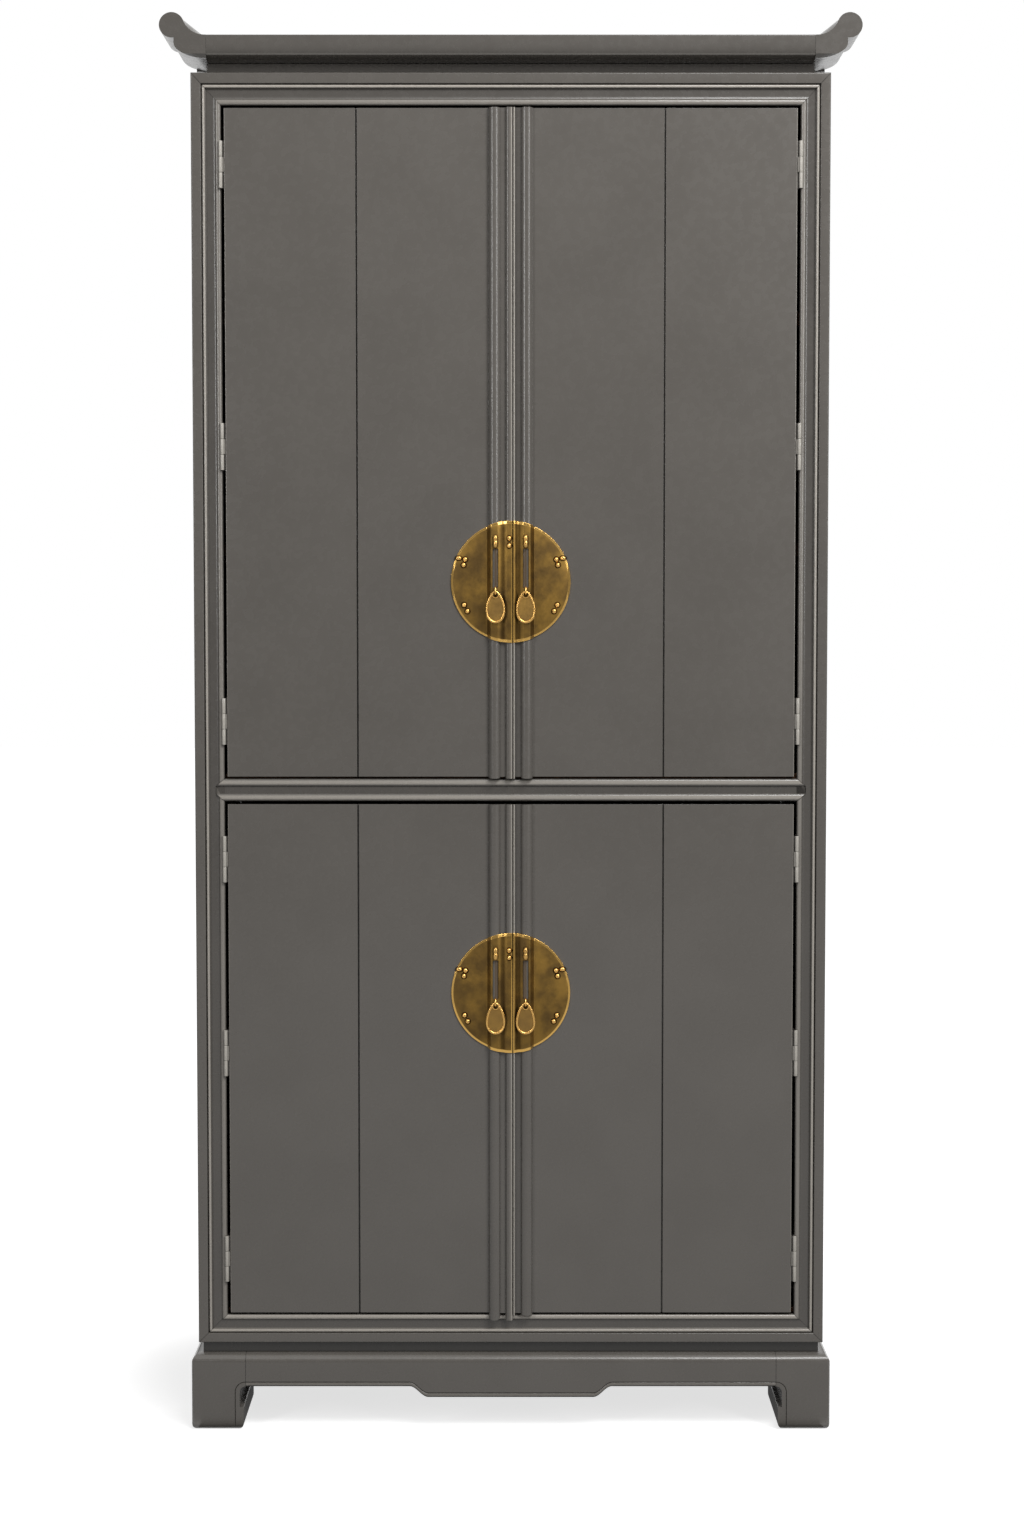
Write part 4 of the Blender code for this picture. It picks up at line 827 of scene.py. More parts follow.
def apron_shade_and_glaze(centres, normals):
    """Darkening of an apron: painted shade in the incised line over its bead and, on the front one, dark
    glaze in its end joints.
    """
    line = APRON_EDGE - np.interp(centres[:, 0], apron_x, apron_drop) + EDGE_BEAD
    incised = abs(centres[:, 2] - line) < EDGE_BEAD_GROOVE / 2
    joint = (abs(centres[:, 0]) > apron_half - JOINT_LINE) & (abs(centres[:, 0]) < apron_half)
    return np.maximum(LINE_SHADE * incised, JOINT_GLAZE * joint)


sections = [apron_section(APRON_EDGE - drop) + (BASE_Y, 0) for drop in apron_drop]
rings = [placed("X", x, section) for x, section in zip(apron_x, sections)]
make("scalloped_front_apron", sweep(rings), ["front_apron"], crest=apron_bead_highlight, stain=apron_shade_and_glaze)
side_joint = FOOT_SIDE + FOOT_JOINT - FOOT_FACE
depth, up = apron_section(APRON_EDGE).T
for side, sign in SIDES.items():
    section = columns(sign * (BASE_HALF - depth), up)
    apron = prism(section, "Y", BASE_Y + side_joint + SEAT, BACK_Y - side_joint - SEAT)
    make(f"beaded_{side}_apron", apron, [f"{side}_apron"], stain=apron_shade_and_glaze)
print("front apron,", len(rings), "rings, and two side aprons")

# %% [markdown]
# ## Bracket feet
#
# A foot is what its front view and its side view have in common. A cutter in the shape of a V follows the
# incised line that climbs the face and bends into the apron's bead line, and another rounds the outer
# arris.

# %% Feet
FOOT_TOE, FOOT_STEP, FOOT_CORNER, FOOT_STEP_EASE = 5.9 * MM, 34.6 * MM, 10.5 * MM, 2 * MM
FOOT_BEAD_RISE, FOOT_ARRIS, NO_ROUND = 15 * MM, 5 * MM, 1e-6
V_LEAN, V_LEAN_SPREAD = 0.447, 0.05
# Each end's outer plane, the direction inwards and the round of its top edge
FOOT_ENDS = {"front": (BASE_Y, 1, TOP_ROUND), "back": (BACK_Y, -1, NO_ROUND)}


def foot_outline(face, top_round):
    """(distance in from the outer edge, height) of a bracket foot whose face has this width."""
    toe, joint = face + FOOT_TOE, face + FOOT_JOINT - FOOT_FACE
    hollow = joint - face
    return outline(
        quarter((0, FOOT_CORNER), (FOOT_CORNER, 0), True),
        quarter((toe - FOOT_CORNER, 0), (toe, FOOT_CORNER), False),
        quarter((toe, FOOT_STEP - FOOT_STEP_EASE), (toe - FOOT_STEP_EASE, FOOT_STEP), True, SMALL_ARC_STEPS),
        [(face, FOOT_STEP)],
        quarter((face, APRON_EDGE - hollow), (joint, APRON_EDGE), True),
        [(joint, BASE_TOP)],
        quarter((top_round, BASE_TOP), (0, BASE_TOP - top_round), False),
    )


def headings(path):
    """The unit direction of a path at each of its points."""
    run = np.gradient(path, axis=0)
    return run / np.linalg.norm(run, axis=1)[:, None]


def line_cutter(face, place):
    """A V-shaped cutter along the incised line of a face with this width: two edges before the face, across
    the line, and one behind it. place sets points of the face, at a depth behind it, into the room."""
    line, joint = face - EDGE_BEAD, face + FOOT_JOINT - FOOT_FACE
    bead, wide = APRON_EDGE + EDGE_BEAD, EDGE_BEAD_GROOVE
    bend = quarter((line, bead - FOOT_BEAD_RISE), (joint, bead), True)
    path = np.array([(line, -wide), *bend, (joint + wide, bead)])
    run = headings(path)
    across = wide * columns(-run[:, 1], run[:, 0])
    edges = [place(*(path + across).T, -wide), place(*(path - across).T, -wide), place(*path.T, wide)]
    return sweep(np.stack(edges, 1))


def foot_line_shade(edge):
    """Painted shade in a foot's incised lines: the faces below the rounded top and close behind the front or
    the side, whose normals lean as the walls of the V do, about 63 degrees from that face's."""
    def stain(centres, normals):
        """The painted shade on each face whose place and lean fit, and none on the others."""
        below = centres[:, 2] < BASE_TOP - TOP_ROUND
        lean = abs(abs(normals[:, :2]) - V_LEAN) < V_LEAN_SPREAD
        depth = columns(BASE_HALF - abs(centres[:, 0]), abs(centres[:, 1] - edge))
        return LINE_SHADE * (below & (lean & (depth < 1.1 * EDGE_BEAD_GROOVE)).any(1))
    return stain


# What a rounded arris takes away, seen from above: the corner outside a quarter circle
arris_across, arris_back = outline(
    [(-MM, -MM), (-MM, FOOT_ARRIS)],
    quarter((0, FOOT_ARRIS), (FOOT_ARRIS, 0), True),
    [(FOOT_ARRIS, -MM)],
).T
for side, sign in SIDES.items():
    for end, (edge, inward, top_round) in FOOT_ENDS.items():

        def on_side(back, up, deep):
            """Points of the foot's side, at a depth behind it."""
            return columns(sign * (BASE_HALF - deep), edge + inward * back, up)

        def on_front(across, up, deep):
            """Points of the foot's front, at a depth behind it."""
            return columns(sign * (BASE_HALF - across), edge + inward * deep, up)

        across, up = foot_outline(FOOT_FACE, TOP_ROUND).T
        front_view = columns(sign * (BASE_HALF - across), up)
        foot = prism(front_view, "Y", edge - inward * SEAT, edge + inward * (side_joint + SEAT))
        back, up = foot_outline(FOOT_SIDE, top_round).T
        side_view = columns(edge + inward * back, up)
        corner = columns(sign * (BASE_HALF - arris_across), edge + inward * arris_back)
        cuts = [
            ("INTERSECT", prism(side_view, "X", sign * apron_half, sign * (BASE_HALF + SEAT))),
            ("DIFFERENCE", prism(corner, "Z", -MM, BASE_TOP + MM)),
            ("DIFFERENCE", line_cutter(FOOT_SIDE, on_side)),
        ]
        if end == "front":
            cuts.append(("DIFFERENCE", line_cutter(FOOT_FACE, on_front)))
        make(f"bracket_{end}_{side}_foot", carve(foot, *cuts), [f"{end}_{side}_foot"],
             stain=foot_line_shade(edge))
print("feet", len(SIDES) * len(FOOT_ENDS))

# %% [markdown]
# ## Neck and back rail
#
# Above the rounded top of the base a neck stands back; its darker lacquer is painted shade, so that it looks
# like a shadow line. Its three lengths meet in two fine joints. A plain rail closes the base at the back.

# %% Neck and back rail
NECK_JOINT, NECK_EASE = 399.7 * MM, 0.5 * MM
neck_low, neck_high = corners("plinth_neck_board")
flat = rectangle(neck_low[1], neck_low[2] - BASE_SINK, neck_high[1], neck_high[2])
joints = [-NECK_JOINT - JOINT_LINE, -NECK_JOINT, NECK_JOINT, NECK_JOINT + JOINT_LINE]
neck = sweep([placed("X", x, flat) for x in (neck_low[0], *joints, neck_high[0])])


def neck_stain(centres, normals):
    """Dark glaze in the two joints of the neck."""
    return JOINT_GLAZE * (abs(abs(centres[:, 0]) - NECK_JOINT - JOINT_LINE / 2) < JOINT_LINE / 4)


make("dark_plinth_neck", neck, ["plinth_neck_board"], neck_shade_lacquer, ease=NECK_EASE, stain=neck_stain)
rail_low, rail_high = corners("back_rail")
make("plain_back_rail", block(rail_low, rail_high - (0, 0, BASE_SINK)), ["back_rail"], ease=BOARD_EASE)
print("neck with", len(joints) // 2, "joints, and the back rail")

# %% [markdown]
# ## Doors
#
# Each door is a flat board with an eased edge all round and one narrow groove down the middle of its flat.
# Its edges and the groove's walls are painted black as painted shade, and a painted highlight runs down the
# eased edge beside the hinges. Its plan is carried straight up, and a Bevel eases the upper and lower edges.

# %% Door boards
DOOR_THICKNESS, DOOR_SETBACK, DOOR_HINGE_GAP = 20 * MM, 1 * MM, 4.6 * MM
DOOR_EASE, DOOR_END_EASE, DOOR_EDGE_HIGHLIGHT = 1.2 * MM, 0.5 * MM, 0.5
GROOVE_WIDTH, GROOVE_BED, GROOVE_DEPTH = 2.0 * MM, 1.4 * MM, 4 * MM
NARROW_EDGE = 0.3
DOOR_Y = FACE_Y + DOOR_SETBACK
DOOR_OUTER = OPENING_HALF - DOOR_HINGE_GAP
STRIP_Y = DOOR_Y - SEAT


def door_edge_highlight(points):
    """A painted highlight on a door, along the eased edge beside its hinges."""
    return DOOR_EDGE_HIGHLIGHT * (abs(points[:, 0]) > DOOR_OUTER - DOOR_EASE)


def door_edge_shade(centres, normals):
    """Black painted shade on all the faces that don't look to the front or the back: the edges, and the
    groove's walls.
    """
    return abs(normals[:, 1]) < NARROW_EDGE


for door in doors:
    groove = (DOOR_OUTER + door.reed_outer) / 2
    back, bed = DOOR_Y + DOOR_THICKNESS, DOOR_Y + GROOVE_DEPTH
    plan = outline(
        [(DOOR_OUTER, back)],
        quarter((DOOR_OUTER, DOOR_Y + DOOR_EASE), (DOOR_OUTER - DOOR_EASE, DOOR_Y), True, EASE_STEPS),
        [(groove + GROOVE_WIDTH / 2, DOOR_Y), (groove + GROOVE_BED / 2, bed)],
        [(groove - GROOVE_BED / 2, bed), (groove - GROOVE_WIDTH / 2, DOOR_Y)],
        [(door.meeting, DOOR_Y), (door.meeting, back)],
    )
    board = prism(plan * (door.sign, 1), "Z", door.low, door.top)
    make(f"{door.name}_board", board, [door.name], body=door.leaf, ease=DOOR_END_EASE, crest=door_edge_highlight,
         stain=door_edge_shade)
print("door boards", len(doors))

# %% [markdown]
# ## Butt hinges
#
# Three small painted butt hinges carry each door, with a painted highlight down the front of the knuckles
# that fades towards their sides. Two knuckles and the pin belong to the leaf on the frame, and the middle
# knuckle belongs to the leaf on the door, so the two halves are separate pieces that ride on different
# bodies.

# %% Hinges
LEAF_THICKNESS, LEAF_DEPTH, LINK_THICKNESS = 1.5 * MM, 17.5 * MM, 2 * MM
KNUCKLE_EASE, PIN_RADIUS = 0.4 * MM, 1.5 * MM
KNUCKLE_STEPS, BARREL_SIDES, PIN_SIDES = 3, 28, 16
axis = joint_place("upper_right_door_swing")


def barrel(low, high):
    """A knuckle on the Z axis: a cylinder whose ends are eased."""
    rim = KNUCKLE_RADIUS - KNUCKLE_EASE
    lower = quarter((rim, low), (KNUCKLE_RADIUS, low + KNUCKLE_EASE), False, KNUCKLE_STEPS)
    upper = quarter((KNUCKLE_RADIUS, high - KNUCKLE_EASE), (rim, high), True, KNUCKLE_STEPS)
    return turned(np.concatenate([lower, upper]), (0, 0, 0), "Z", BARREL_SIDES)


def joined(first, *others):
    """A shell united with others."""
    return carve(first, *[("UNION", other) for other in others])


def knuckle_highlight(points):
    """A painted highlight, which grows towards the front of the knuckles."""
    return np.clip((axis[1] - points[:, 1]) / KNUCKLE_RADIUS, 0, 1)


half, sixth = HINGE_LENGTH / 2, HINGE_LENGTH / 6
inner_end, outer_start = sixth - KNUCKLE_GAP / 2, sixth + KNUCKLE_GAP / 2
link_end, tongue_end = inner_end - KNUCKLE_GAP, inner_end - 2 * KNUCKLE_GAP
door_edge, stile_edge = DOOR_OUTER - axis[0], OPENING_HALF - SEAT - axis[0]
leaf_front, clear = DOOR_Y + DOOR_EASE + SEAT - axis[1], KNUCKLE_RADIUS + KNUCKLE_GAP
door_leaf = joined(
    barrel(-inner_end, inner_end),
    block((door_edge + LEAF_THICKNESS / 3, -LINK_THICKNESS / 2, -link_end),
          (0, LINK_THICKNESS / 2, link_end)),
    block((door_edge + SEAT / 3, -LINK_THICKNESS / 2 + SEAT, -tongue_end),
          (door_edge + LEAF_THICKNESS, leaf_front + MM, tongue_end)),
    block((door_edge + SEAT / 2, leaf_front, -half),
          (door_edge + LEAF_THICKNESS - SEAT / 2, leaf_front + LEAF_DEPTH, half)),
)
low, high = outer_start + KNUCKLE_GAP, half - KNUCKLE_GAP
frame_leaf = joined(
    turned([(PIN_RADIUS, -half + MM), (PIN_RADIUS, half - MM)], (0, 0, 0), "Z", PIN_SIDES),
    barrel(outer_start, half),
    barrel(-half, -outer_start),
    block((stile_edge - LEAF_THICKNESS, 0, low), (stile_edge, clear + MM, high)),
    block((stile_edge - LEAF_THICKNESS, 0, -high), (stile_edge, clear + MM, -low)),
    block((stile_edge - LEAF_THICKNESS + SEAT / 4, clear, -half),
          (stile_edge - SEAT / 4, clear + LEAF_DEPTH, half)),
)
for door in doors:
    for order, place in enumerate(door.hinges, 1):
        make(f"{door.name}_butt_hinge_{order}", moved(frame_leaf, place, door.sign),
             [f"{door.name}_hinge_{order}"], hinge_paint, crest=knuckle_highlight)
    leaves = together(*[moved(door_leaf, place, door.sign) for place in door.hinges])
    make(f"{door.name}_hinge_leaves", leaves, (), hinge_paint, door.leaf,
         crest=knuckle_highlight)
print("hinges", sum(len(door.hinges) for door in doors))

# %% [markdown]
# ## Reeded meeting strips
#
# Where two doors meet, each carries a strip with a round reed; the left strip ends in a broad lip and the
# right one in a narrow lip, and a painted highlight runs down the arris of each of them. Painted shade makes
# the meeting faces black and darkens the recess between lip and reed. The section is carried straight up,
# and at the foot the reed is cut to a half round, with a notch beside it.

# %% Strips
STRIP_BASE, REED_CREST, REED_WIDTH = 2.5 * MM, 8.5 * MM, 17 * MM
LIP_WIDTH = {"left": 10 * MM, "right": 2.5 * MM}
LIP_CREST, LIP_EASE = 7.5 * MM, 0.9 * MM
# The width of each lip's painted highlight, and the depth of each recess's painted shade
LIP_HIGHLIGHT_WIDTH = {"left": 1.2 * MM, "right": 2.5 * MM}
STRIP_RECESS_SHADE = {"left": 0.06, "right": 0.3}
END_ROUND, LONG_END_ROUND = 1.5 * MM, 6 * MM


def strip_section(door):
    """(distance along the door, height above it): the reed, the recess and the lip with its eased arris."""
    middle, lip_middle = (door.reed_inner + door.reed_outer) / 2, (door.lip + door.meeting) / 2
    return outline(
        quarter((door.reed_outer, 0), (middle, REED_CREST), True),
        quarter((middle, REED_CREST), (door.reed_inner, STRIP_BASE), False),
        quarter((door.lip, STRIP_BASE), (lip_middle, LIP_CREST), True),
        [(min(door.meeting + 1.6 * LIP_EASE, lip_middle), LIP_CREST)],
        quarter((door.meeting + LIP_EASE, LIP_CREST), (door.meeting, LIP_CREST - LIP_EASE), False,
                EASE_STEPS),
        [(door.meeting, 0)],
    )


def strip_view(door):
    """(distance along the door, height) of a strip from the front, with its cut foot."""
    middle, low, top = (door.reed_inner + door.reed_outer) / 2, door.strip_low, door.strip_top + SEAT
    near, far = door.meeting - SEAT, door.reed_outer + SEAT
    end_round = LONG_END_ROUND if door.name == "lower_left_door" else END_ROUND
    return outline(
        [(near, top), (far, top)],
        quarter((far, low + end_round), (middle, low), True),
        quarter((middle, low), (door.reed_inner, low + end_round), False),
        [(door.reed_inner, door.low), (door.lip, door.low)],
        quarter((door.lip, low + end_round / 2), (door.lip - end_round / 3, low), True),
        [(near, low)],
    )


def lip_highlight(door, points):
    """The painted highlight of a strip, along the lip's meeting edge and growing with the height above the
    recess.
    """
    height, reach = STRIP_Y - points[:, 1] - STRIP_BASE, LIP_HIGHLIGHT_WIDTH[door.side]
    raised = np.clip(height / (LIP_CREST - LIP_EASE - STRIP_BASE), 0, 1)
    return raised * bell(door.sign * points[:, 0] - door.meeting - reach / 2, 0.7 * reach)


def strip_shade(door, centres, normals):
    """Black painted shade on the meeting face, and painted shade in the recess between lip and reed."""
    black = (abs(normals[:, 0]) > DEAD_SQUARE) & (door.sign * centres[:, 0] < door.meeting + MM)
    recess = (STRIP_Y - centres[:, 1] < STRIP_BASE + SEAT) & (normals[:, 1] < -SQUARE)
    return np.maximum(black, STRIP_RECESS_SHADE[door.side] * recess)


for door in doors:
    door.lip, door.reed_inner = door.meeting + LIP_WIDTH[door.side], door.reed_outer - REED_WIDTH
    along, height = strip_section(door).T
    plan = columns(door.sign * along, STRIP_Y - height)
    view = prism(strip_view(door) * (door.sign, 1), "Y", STRIP_Y - 2 * REED_CREST, STRIP_Y + SEAT)
    strip = carve(prism(plan, "Z", door.strip_low - SEAT, door.strip_top), ("INTERSECT", view))
    make(f"{door.name}_reeded_strip", strip, [f"{door.name}_strip"], body=door.leaf,
         crest=lambda points: lip_highlight(door, points),
         stain=lambda centres, normals: strip_shade(door, centres, normals))
print("strips", len(doors))

# %% [markdown]
# ## Split lock plates
#
# A round plate of sheet brass is split down the middle, one half on each door, and formed over the reeds.
# Seen along the door it is a thin line that climbs over the reed, dips into the recess and ends on the lip.
# That line is the height at each distance from the middle, and the plate's outline gives how tall the sheet
# is there, so the plate is swept sideways, with the rim's round in each ring. A slot below the lug shows the
# reed, and a thin brown sheet laid on the reed there is painted shade. Patina in the recess beside the reed
# and in the outer crease is darkened further as painted shade.

# %% Plates
PLATE_SHEET, PLATE_EDGE, PLATE_STEP, PLATE_RISE_RUN = 1.5 * MM, 0.5 * MM, 1.3 * MM, 2 * MM
PLATE_DIP = {"left": 5.2 * MM, "right": 4.0 * MM}
FORMING_RADIUS, SLOT_EASE = 1.2 * MM, 0.4 * MM
FORMING_POINTS, FORMED_STATIONS, ROUND_STATIONS, EDGE_POINTS, LINING_STEPS = 9, 100, 50, 5, 12
# Patina and painted shade in the outer crease and in the recess
CREASE_REACH, CREASE_PATINA_AND_SHADE, RECESS_PATINA_AND_SHADE = 1.2 * MM, 0.15, 0.6
SLOT_WIDTH, SLOT_TOP, SLOT_BOTTOM, SLOT_REACH = 8.5 * MM, 48.2 * MM, 8.4 * MM, 100 * MM
PLATE_Y = STRIP_Y - SEAT


def drape(door, distance):
    """How far the sheet's back stands off the door: straight runs between its bends, each averaged over a
    short stretch, which rounds the bends as a forming hammer does."""
    width, shoulder = LIP_WIDTH[door.side], REED_WIDTH / 5
    lip_end = door.meeting + max(width - shoulder, width / 2) + 2 * SEAT
    bends = [door.meeting, lip_end, (door.lip + door.reed_inner) / 2, door.reed_inner + shoulder,
             door.reed_outer - shoulder, door.reed_outer + PLATE_RISE_RUN]
    heights = [LIP_CREST, LIP_CREST, PLATE_DIP[door.side], REED_CREST, REED_CREST, 0]
    around = np.linspace(-FORMING_RADIUS, FORMING_RADIUS, FORMING_POINTS)
    return np.interp(np.asarray(distance)[..., None] + around, bends, heights).mean(-1)


def plate_shell(door):
    """A half plate: at each station across, a ring up the sheet's back and down its front. Its half height
    is the root of radius squared less distance squared, and a step more over strip and reed."""
    radius = door.plate_radius
    formed = np.linspace(door.meeting, door.reed_outer + 3 * PLATE_RISE_RUN, FORMED_STATIONS)
    turn = np.linspace(math.asin(formed[-1] / radius), np.pi / 2, ROUND_STATIONS)[1:]
    stations = np.concatenate([formed, radius * np.sin(turn)])
    step = np.clip((door.reed_outer + MM - stations) / MM, 0, 1)
    reach = (np.sqrt(np.clip(radius**2 - stations**2, 1e-12, None)) + PLATE_STEP * step)[:, None]
    back = PLATE_Y - drape(door, stations)[:, None]
    edge = np.minimum(PLATE_EDGE, reach)
    bend = np.linspace(0, np.pi / 2, EDGE_POINTS)
    upper_z = reach - edge + edge * np.cos(bend)
    upper_y = back - PLATE_SHEET + edge - edge * np.sin(bend)
    ring_z = np.concatenate([-reach, reach, upper_z, -upper_z[:, ::-1]], 1)
    ring_y = np.concatenate([back, back, upper_y, upper_y[:, ::-1]], 1)
    return sweep(columns(door.sign * stations[:, None], ring_y, ring_z + door.plate_z))


def plate_patina_and_shade(door, distance):
    """How clear the plate is of patina and painted shade: both darken the recess beside the reed, less the
    outer crease.
    """
    recess = bell(distance - (door.lip + door.reed_inner) / 2, (door.reed_inner - door.lip) / 2)
    crease = bell(distance - door.reed_outer - PLATE_RISE_RUN / 2, CREASE_REACH)
    return FACE_CREST * (1 - RECESS_PATINA_AND_SHADE * recess - CREASE_PATINA_AND_SHADE * crease)


def give_plate_radii(mesh, door):
    """A UV map that holds each corner's place on the plate, in plate radii from its centre."""
    corner_points = np.empty(len(mesh.loops), int)
    mesh.loops.foreach_get("vertex_index", corner_points)
    flat = vectors(mesh.vertices, "co")[corner_points][:, (0, 2)]
    radii = (flat - (0, door.plate_z)) / door.plate_radius
    mesh.uv_layers.new(name="plate_radii").data.foreach_set("uv", radii.ravel())


for door in doors:
    middle, low, high = door.sign * door.middle, door.plate_z - SLOT_BOTTOM, door.plate_z + SLOT_TOP
    slot = block((middle - SLOT_WIDTH / 2, PLATE_Y - SLOT_REACH, low),
                 (middle + SLOT_WIDTH / 2, PLATE_Y + SLOT_REACH, high))
    sheet = carve(plate_shell(door), ("DIFFERENCE", slot))
    plate = make(f"{door.name}_lock_plate", sheet, [f"{door.name}_plate"], sheet_brass, door.leaf,
                 SLOT_EASE, crest=lambda points: plate_patina_and_shade(door, door.sign * points[:, 0]))
    give_plate_radii(plate.data, door)
    # The thin brown sheet on the reed in the slot: painted shade.
    shade_sheet = arc((middle, STRIP_Y), REED_CREST + SEAT / 3, -np.pi / 3, -2 * np.pi / 3, LINING_STEPS)
    shade_sheet = np.concatenate([shade_sheet, shade_sheet[::-1] + (0, SEAT)])
    shade_sheet = prism(shade_sheet, "Z", low - MM, high + MM)
    make(f"{door.name}_slot_lining", shade_sheet, (), slot_shade_lacquer, body=door.leaf)
print("plates", len(doors))

# %% [markdown]
# ## Lugs and studs
#
# Over each slot sits a cast lug, a long drop with a waist. Small domed studs hold the plates. All are
# surfaces of two parameters: the lug's width follows its length, and a stud is turned from one quarter of a
# circle with a dimple.

# %% Lugs and studs
LUG_HALF_WIDTH, LUG_HALF_HEIGHT, LUG_PROUD, LUG_RUB = 4.4 * MM, 10.4 * MM, 5.5 * MM, 0.85
LUG_WAIST, WAIST_PLACE, WAIST_REACH = 0.16, 0.1, 0.16
STUD_RADIUS, STUD_PROUD, STUD_LIFT = 3.6 * MM, 3 * MM, 0.3 * MM
STUD_DIMPLE, DIMPLE_REACH, STUD_FOOT, STUD_FOOT_RISE = 0.6 * MM, 0.22, 1.3, 0.2 * MM
LUG_STATIONS, LUG_SIDES, STUD_STATIONS, STUD_SIDES = 41, 24, 13, 20
# Each stud's distance from the middle and height from the plate's centre, in millimetres
SIDE_STUDS = [(66.5, 32.6), (68.8, 24.4), (68.0, -33.7), (63.3, -42.7)]
RIM_STUD, RIM_STRETCH = (76.0, 34.5), 1.25
SPLIT_STUDS = [(2.4, 63.1), (2.4, 52.4)]


def on_plate(door, distance, up):
    """The place on the plate's front at a distance from the middle and a height from the centre."""
    stand = drape(door, distance) + PLATE_SHEET
    return np.array((door.sign * distance, PLATE_Y - float(stand), door.plate_z + up))


def lug_shell():
    """Along its length the lug's half width is the root of 1 - t to the 4th, less a waist at the middle;
    round it goes an ellipse, of which the back half lies in the plate."""
    along = np.linspace(-1, 1, LUG_STATIONS)[:, None]
    turn = np.linspace(0, 2 * np.pi, LUG_SIDES, endpoint=False)
    waist = LUG_WAIST * np.exp(-((along - WAIST_PLACE) / WAIST_REACH) ** 2)
    width = np.sqrt(np.clip(1 - along**4, 0, 1)) * (1 - waist)
    x, y = LUG_HALF_WIDTH * width * np.cos(turn), -LUG_PROUD * width * np.sin(turn)
    return sweep(columns(x, y, LUG_HALF_HEIGHT * along))


def stud_shell(door, distance, up, stretch=1.0):
    """A dome: the radius is the sine of a turn from 0 to 90 degrees and the height its cosine, less a small
    dimple at the crown."""
    turn = np.linspace(0, np.pi / 2, STUD_STATIONS)
    radius, height = np.sin(turn), np.cos(turn)
    height = STUD_PROUD * height - STUD_DIMPLE * np.exp(-(radius / DIMPLE_REACH) ** 2)
    foot = [(STUD_FOOT, STUD_FOOT_RISE), (STUD_FOOT, -PLATE_SHEET / 2)]
    profile = np.array([*zip(radius, height + STUD_LIFT), *foot]) * (STUD_RADIUS, -1)
    points, faces = turned(profile, (0, 0, 0), "Y", STUD_SIDES)
    points = points * (stretch, 1, 1 / math.sqrt(stretch))
    return points + on_plate(door, distance * MM, up * MM), faces


def stud_rub_patina_and_shade(door, points):
    """The studs' colour: patina and painted shade at the plate, rubbed bright a third of the way up the
    dome.
    """
    stand = drape(door, door.sign * points[:, 0]) + PLATE_SHEET
    return (PLATE_Y - stand - points[:, 1] - STUD_LIFT) / (STUD_PROUD / 3)


stud_count = 0
for door in doors:
    place = on_plate(door, door.middle, SLOT_TOP + LUG_HALF_HEIGHT)
    # The lug is darkest at the plate, patina and painted shade, and rubbed brighter towards its front
    make(f"{door.name}_lug", moved(lug_shell(), place), (), cast_brass, door.leaf,
         crest=lambda points: LUG_RUB * (place[1] - points[:, 1]) / LUG_PROUD)
    studs = [*SIDE_STUDS, (*RIM_STUD, RIM_STRETCH)] + (SPLIT_STUDS if door.side == "left" else [])
    domes = together(*[stud_shell(door, *stud) for stud in studs])
    make(f"{door.name}_studs", domes, (), cast_brass, door.leaf,
         crest=lambda points: stud_rub_patina_and_shade(door, points))
    stud_count += len(studs)
print("lugs", len(doors), "studs", stud_count)

# %% [markdown]
# ## Drop handles
#
# A drop is a flat teardrop with a half-round rim. Its rings all have the same outline, drawn in further and
# further: round the edge, over the rim and down to the sunken face. A collar is added round the hole for the
# eye, and the hole is cut last. The eye is a bent wire.

# %% Drops and eyes
DROP_TAPER, DROP_RIM, DROP_RECESS, DROP_EASE = 0.22, 3.8 * MM, 1.4 * MM, 0.2 * MM
DROP_BAR, DROP_HOLE, DROP_COLLAR, HOLE_REACH = 3 * MM, 6.4 * MM, 1.9 * MM, 10 * MM
# The rounded back edge: how far each ring is drawn in, and how far it lies before the back
BACK_ROUND = [(0.8 * MM, 0), (0.2 * MM, 0.2 * MM), (0, 0.8 * MM)]
# The face's rub, the rise over which the rim is rubbed, and how far the painted shade of the hole reaches
DROP_FACE_RUB, RIM_RUB_RISE, HOLE_SHADE_REACH = 1.55 * FACE_CREST, 0.5 * MM, 0.3 * MM
WIRE_RADIUS, WIRE_SIDES, EYE_STRETCH = 1.4 * MM, 12, 2.4 * MM
TEARDROP_POINTS, RIM_STATIONS, HOLE_SIDES, BEND_STEPS = 80, 11, 32, 24
drop_low, drop_high = corners("upper_left_door_drop")
DROP_WIDTH, DROP_THICKNESS, DROP_LENGTH = drop_high - drop_low
front, back = -DROP_THICKNESS / 2, DROP_THICKNESS / 2
hole_place = np.array((0, 0, -DROP_BAR - DROP_HOLE / 2))


def teardrop(inset):
    """An ellipse whose width tapers towards its top, which is at height zero, drawn in along its normals."""
    turn = np.linspace(0, 2 * np.pi, TEARDROP_POINTS, endpoint=False)
    sine, cosine = np.sin(turn), np.cos(turn)
    taper = 1 - DROP_TAPER * cosine
    half_width, half_length = DROP_WIDTH / 2 / (sine * taper).max(), DROP_LENGTH / 2
    run = columns(half_width * (cosine * taper + DROP_TAPER * sine**2), -half_length * sine)
    inward = columns(run[:, 1], -run[:, 0]) / np.linalg.norm(run, axis=1)[:, None]
    return columns(half_width * sine * taper, half_length * (cosine - 1)) + inset * inward


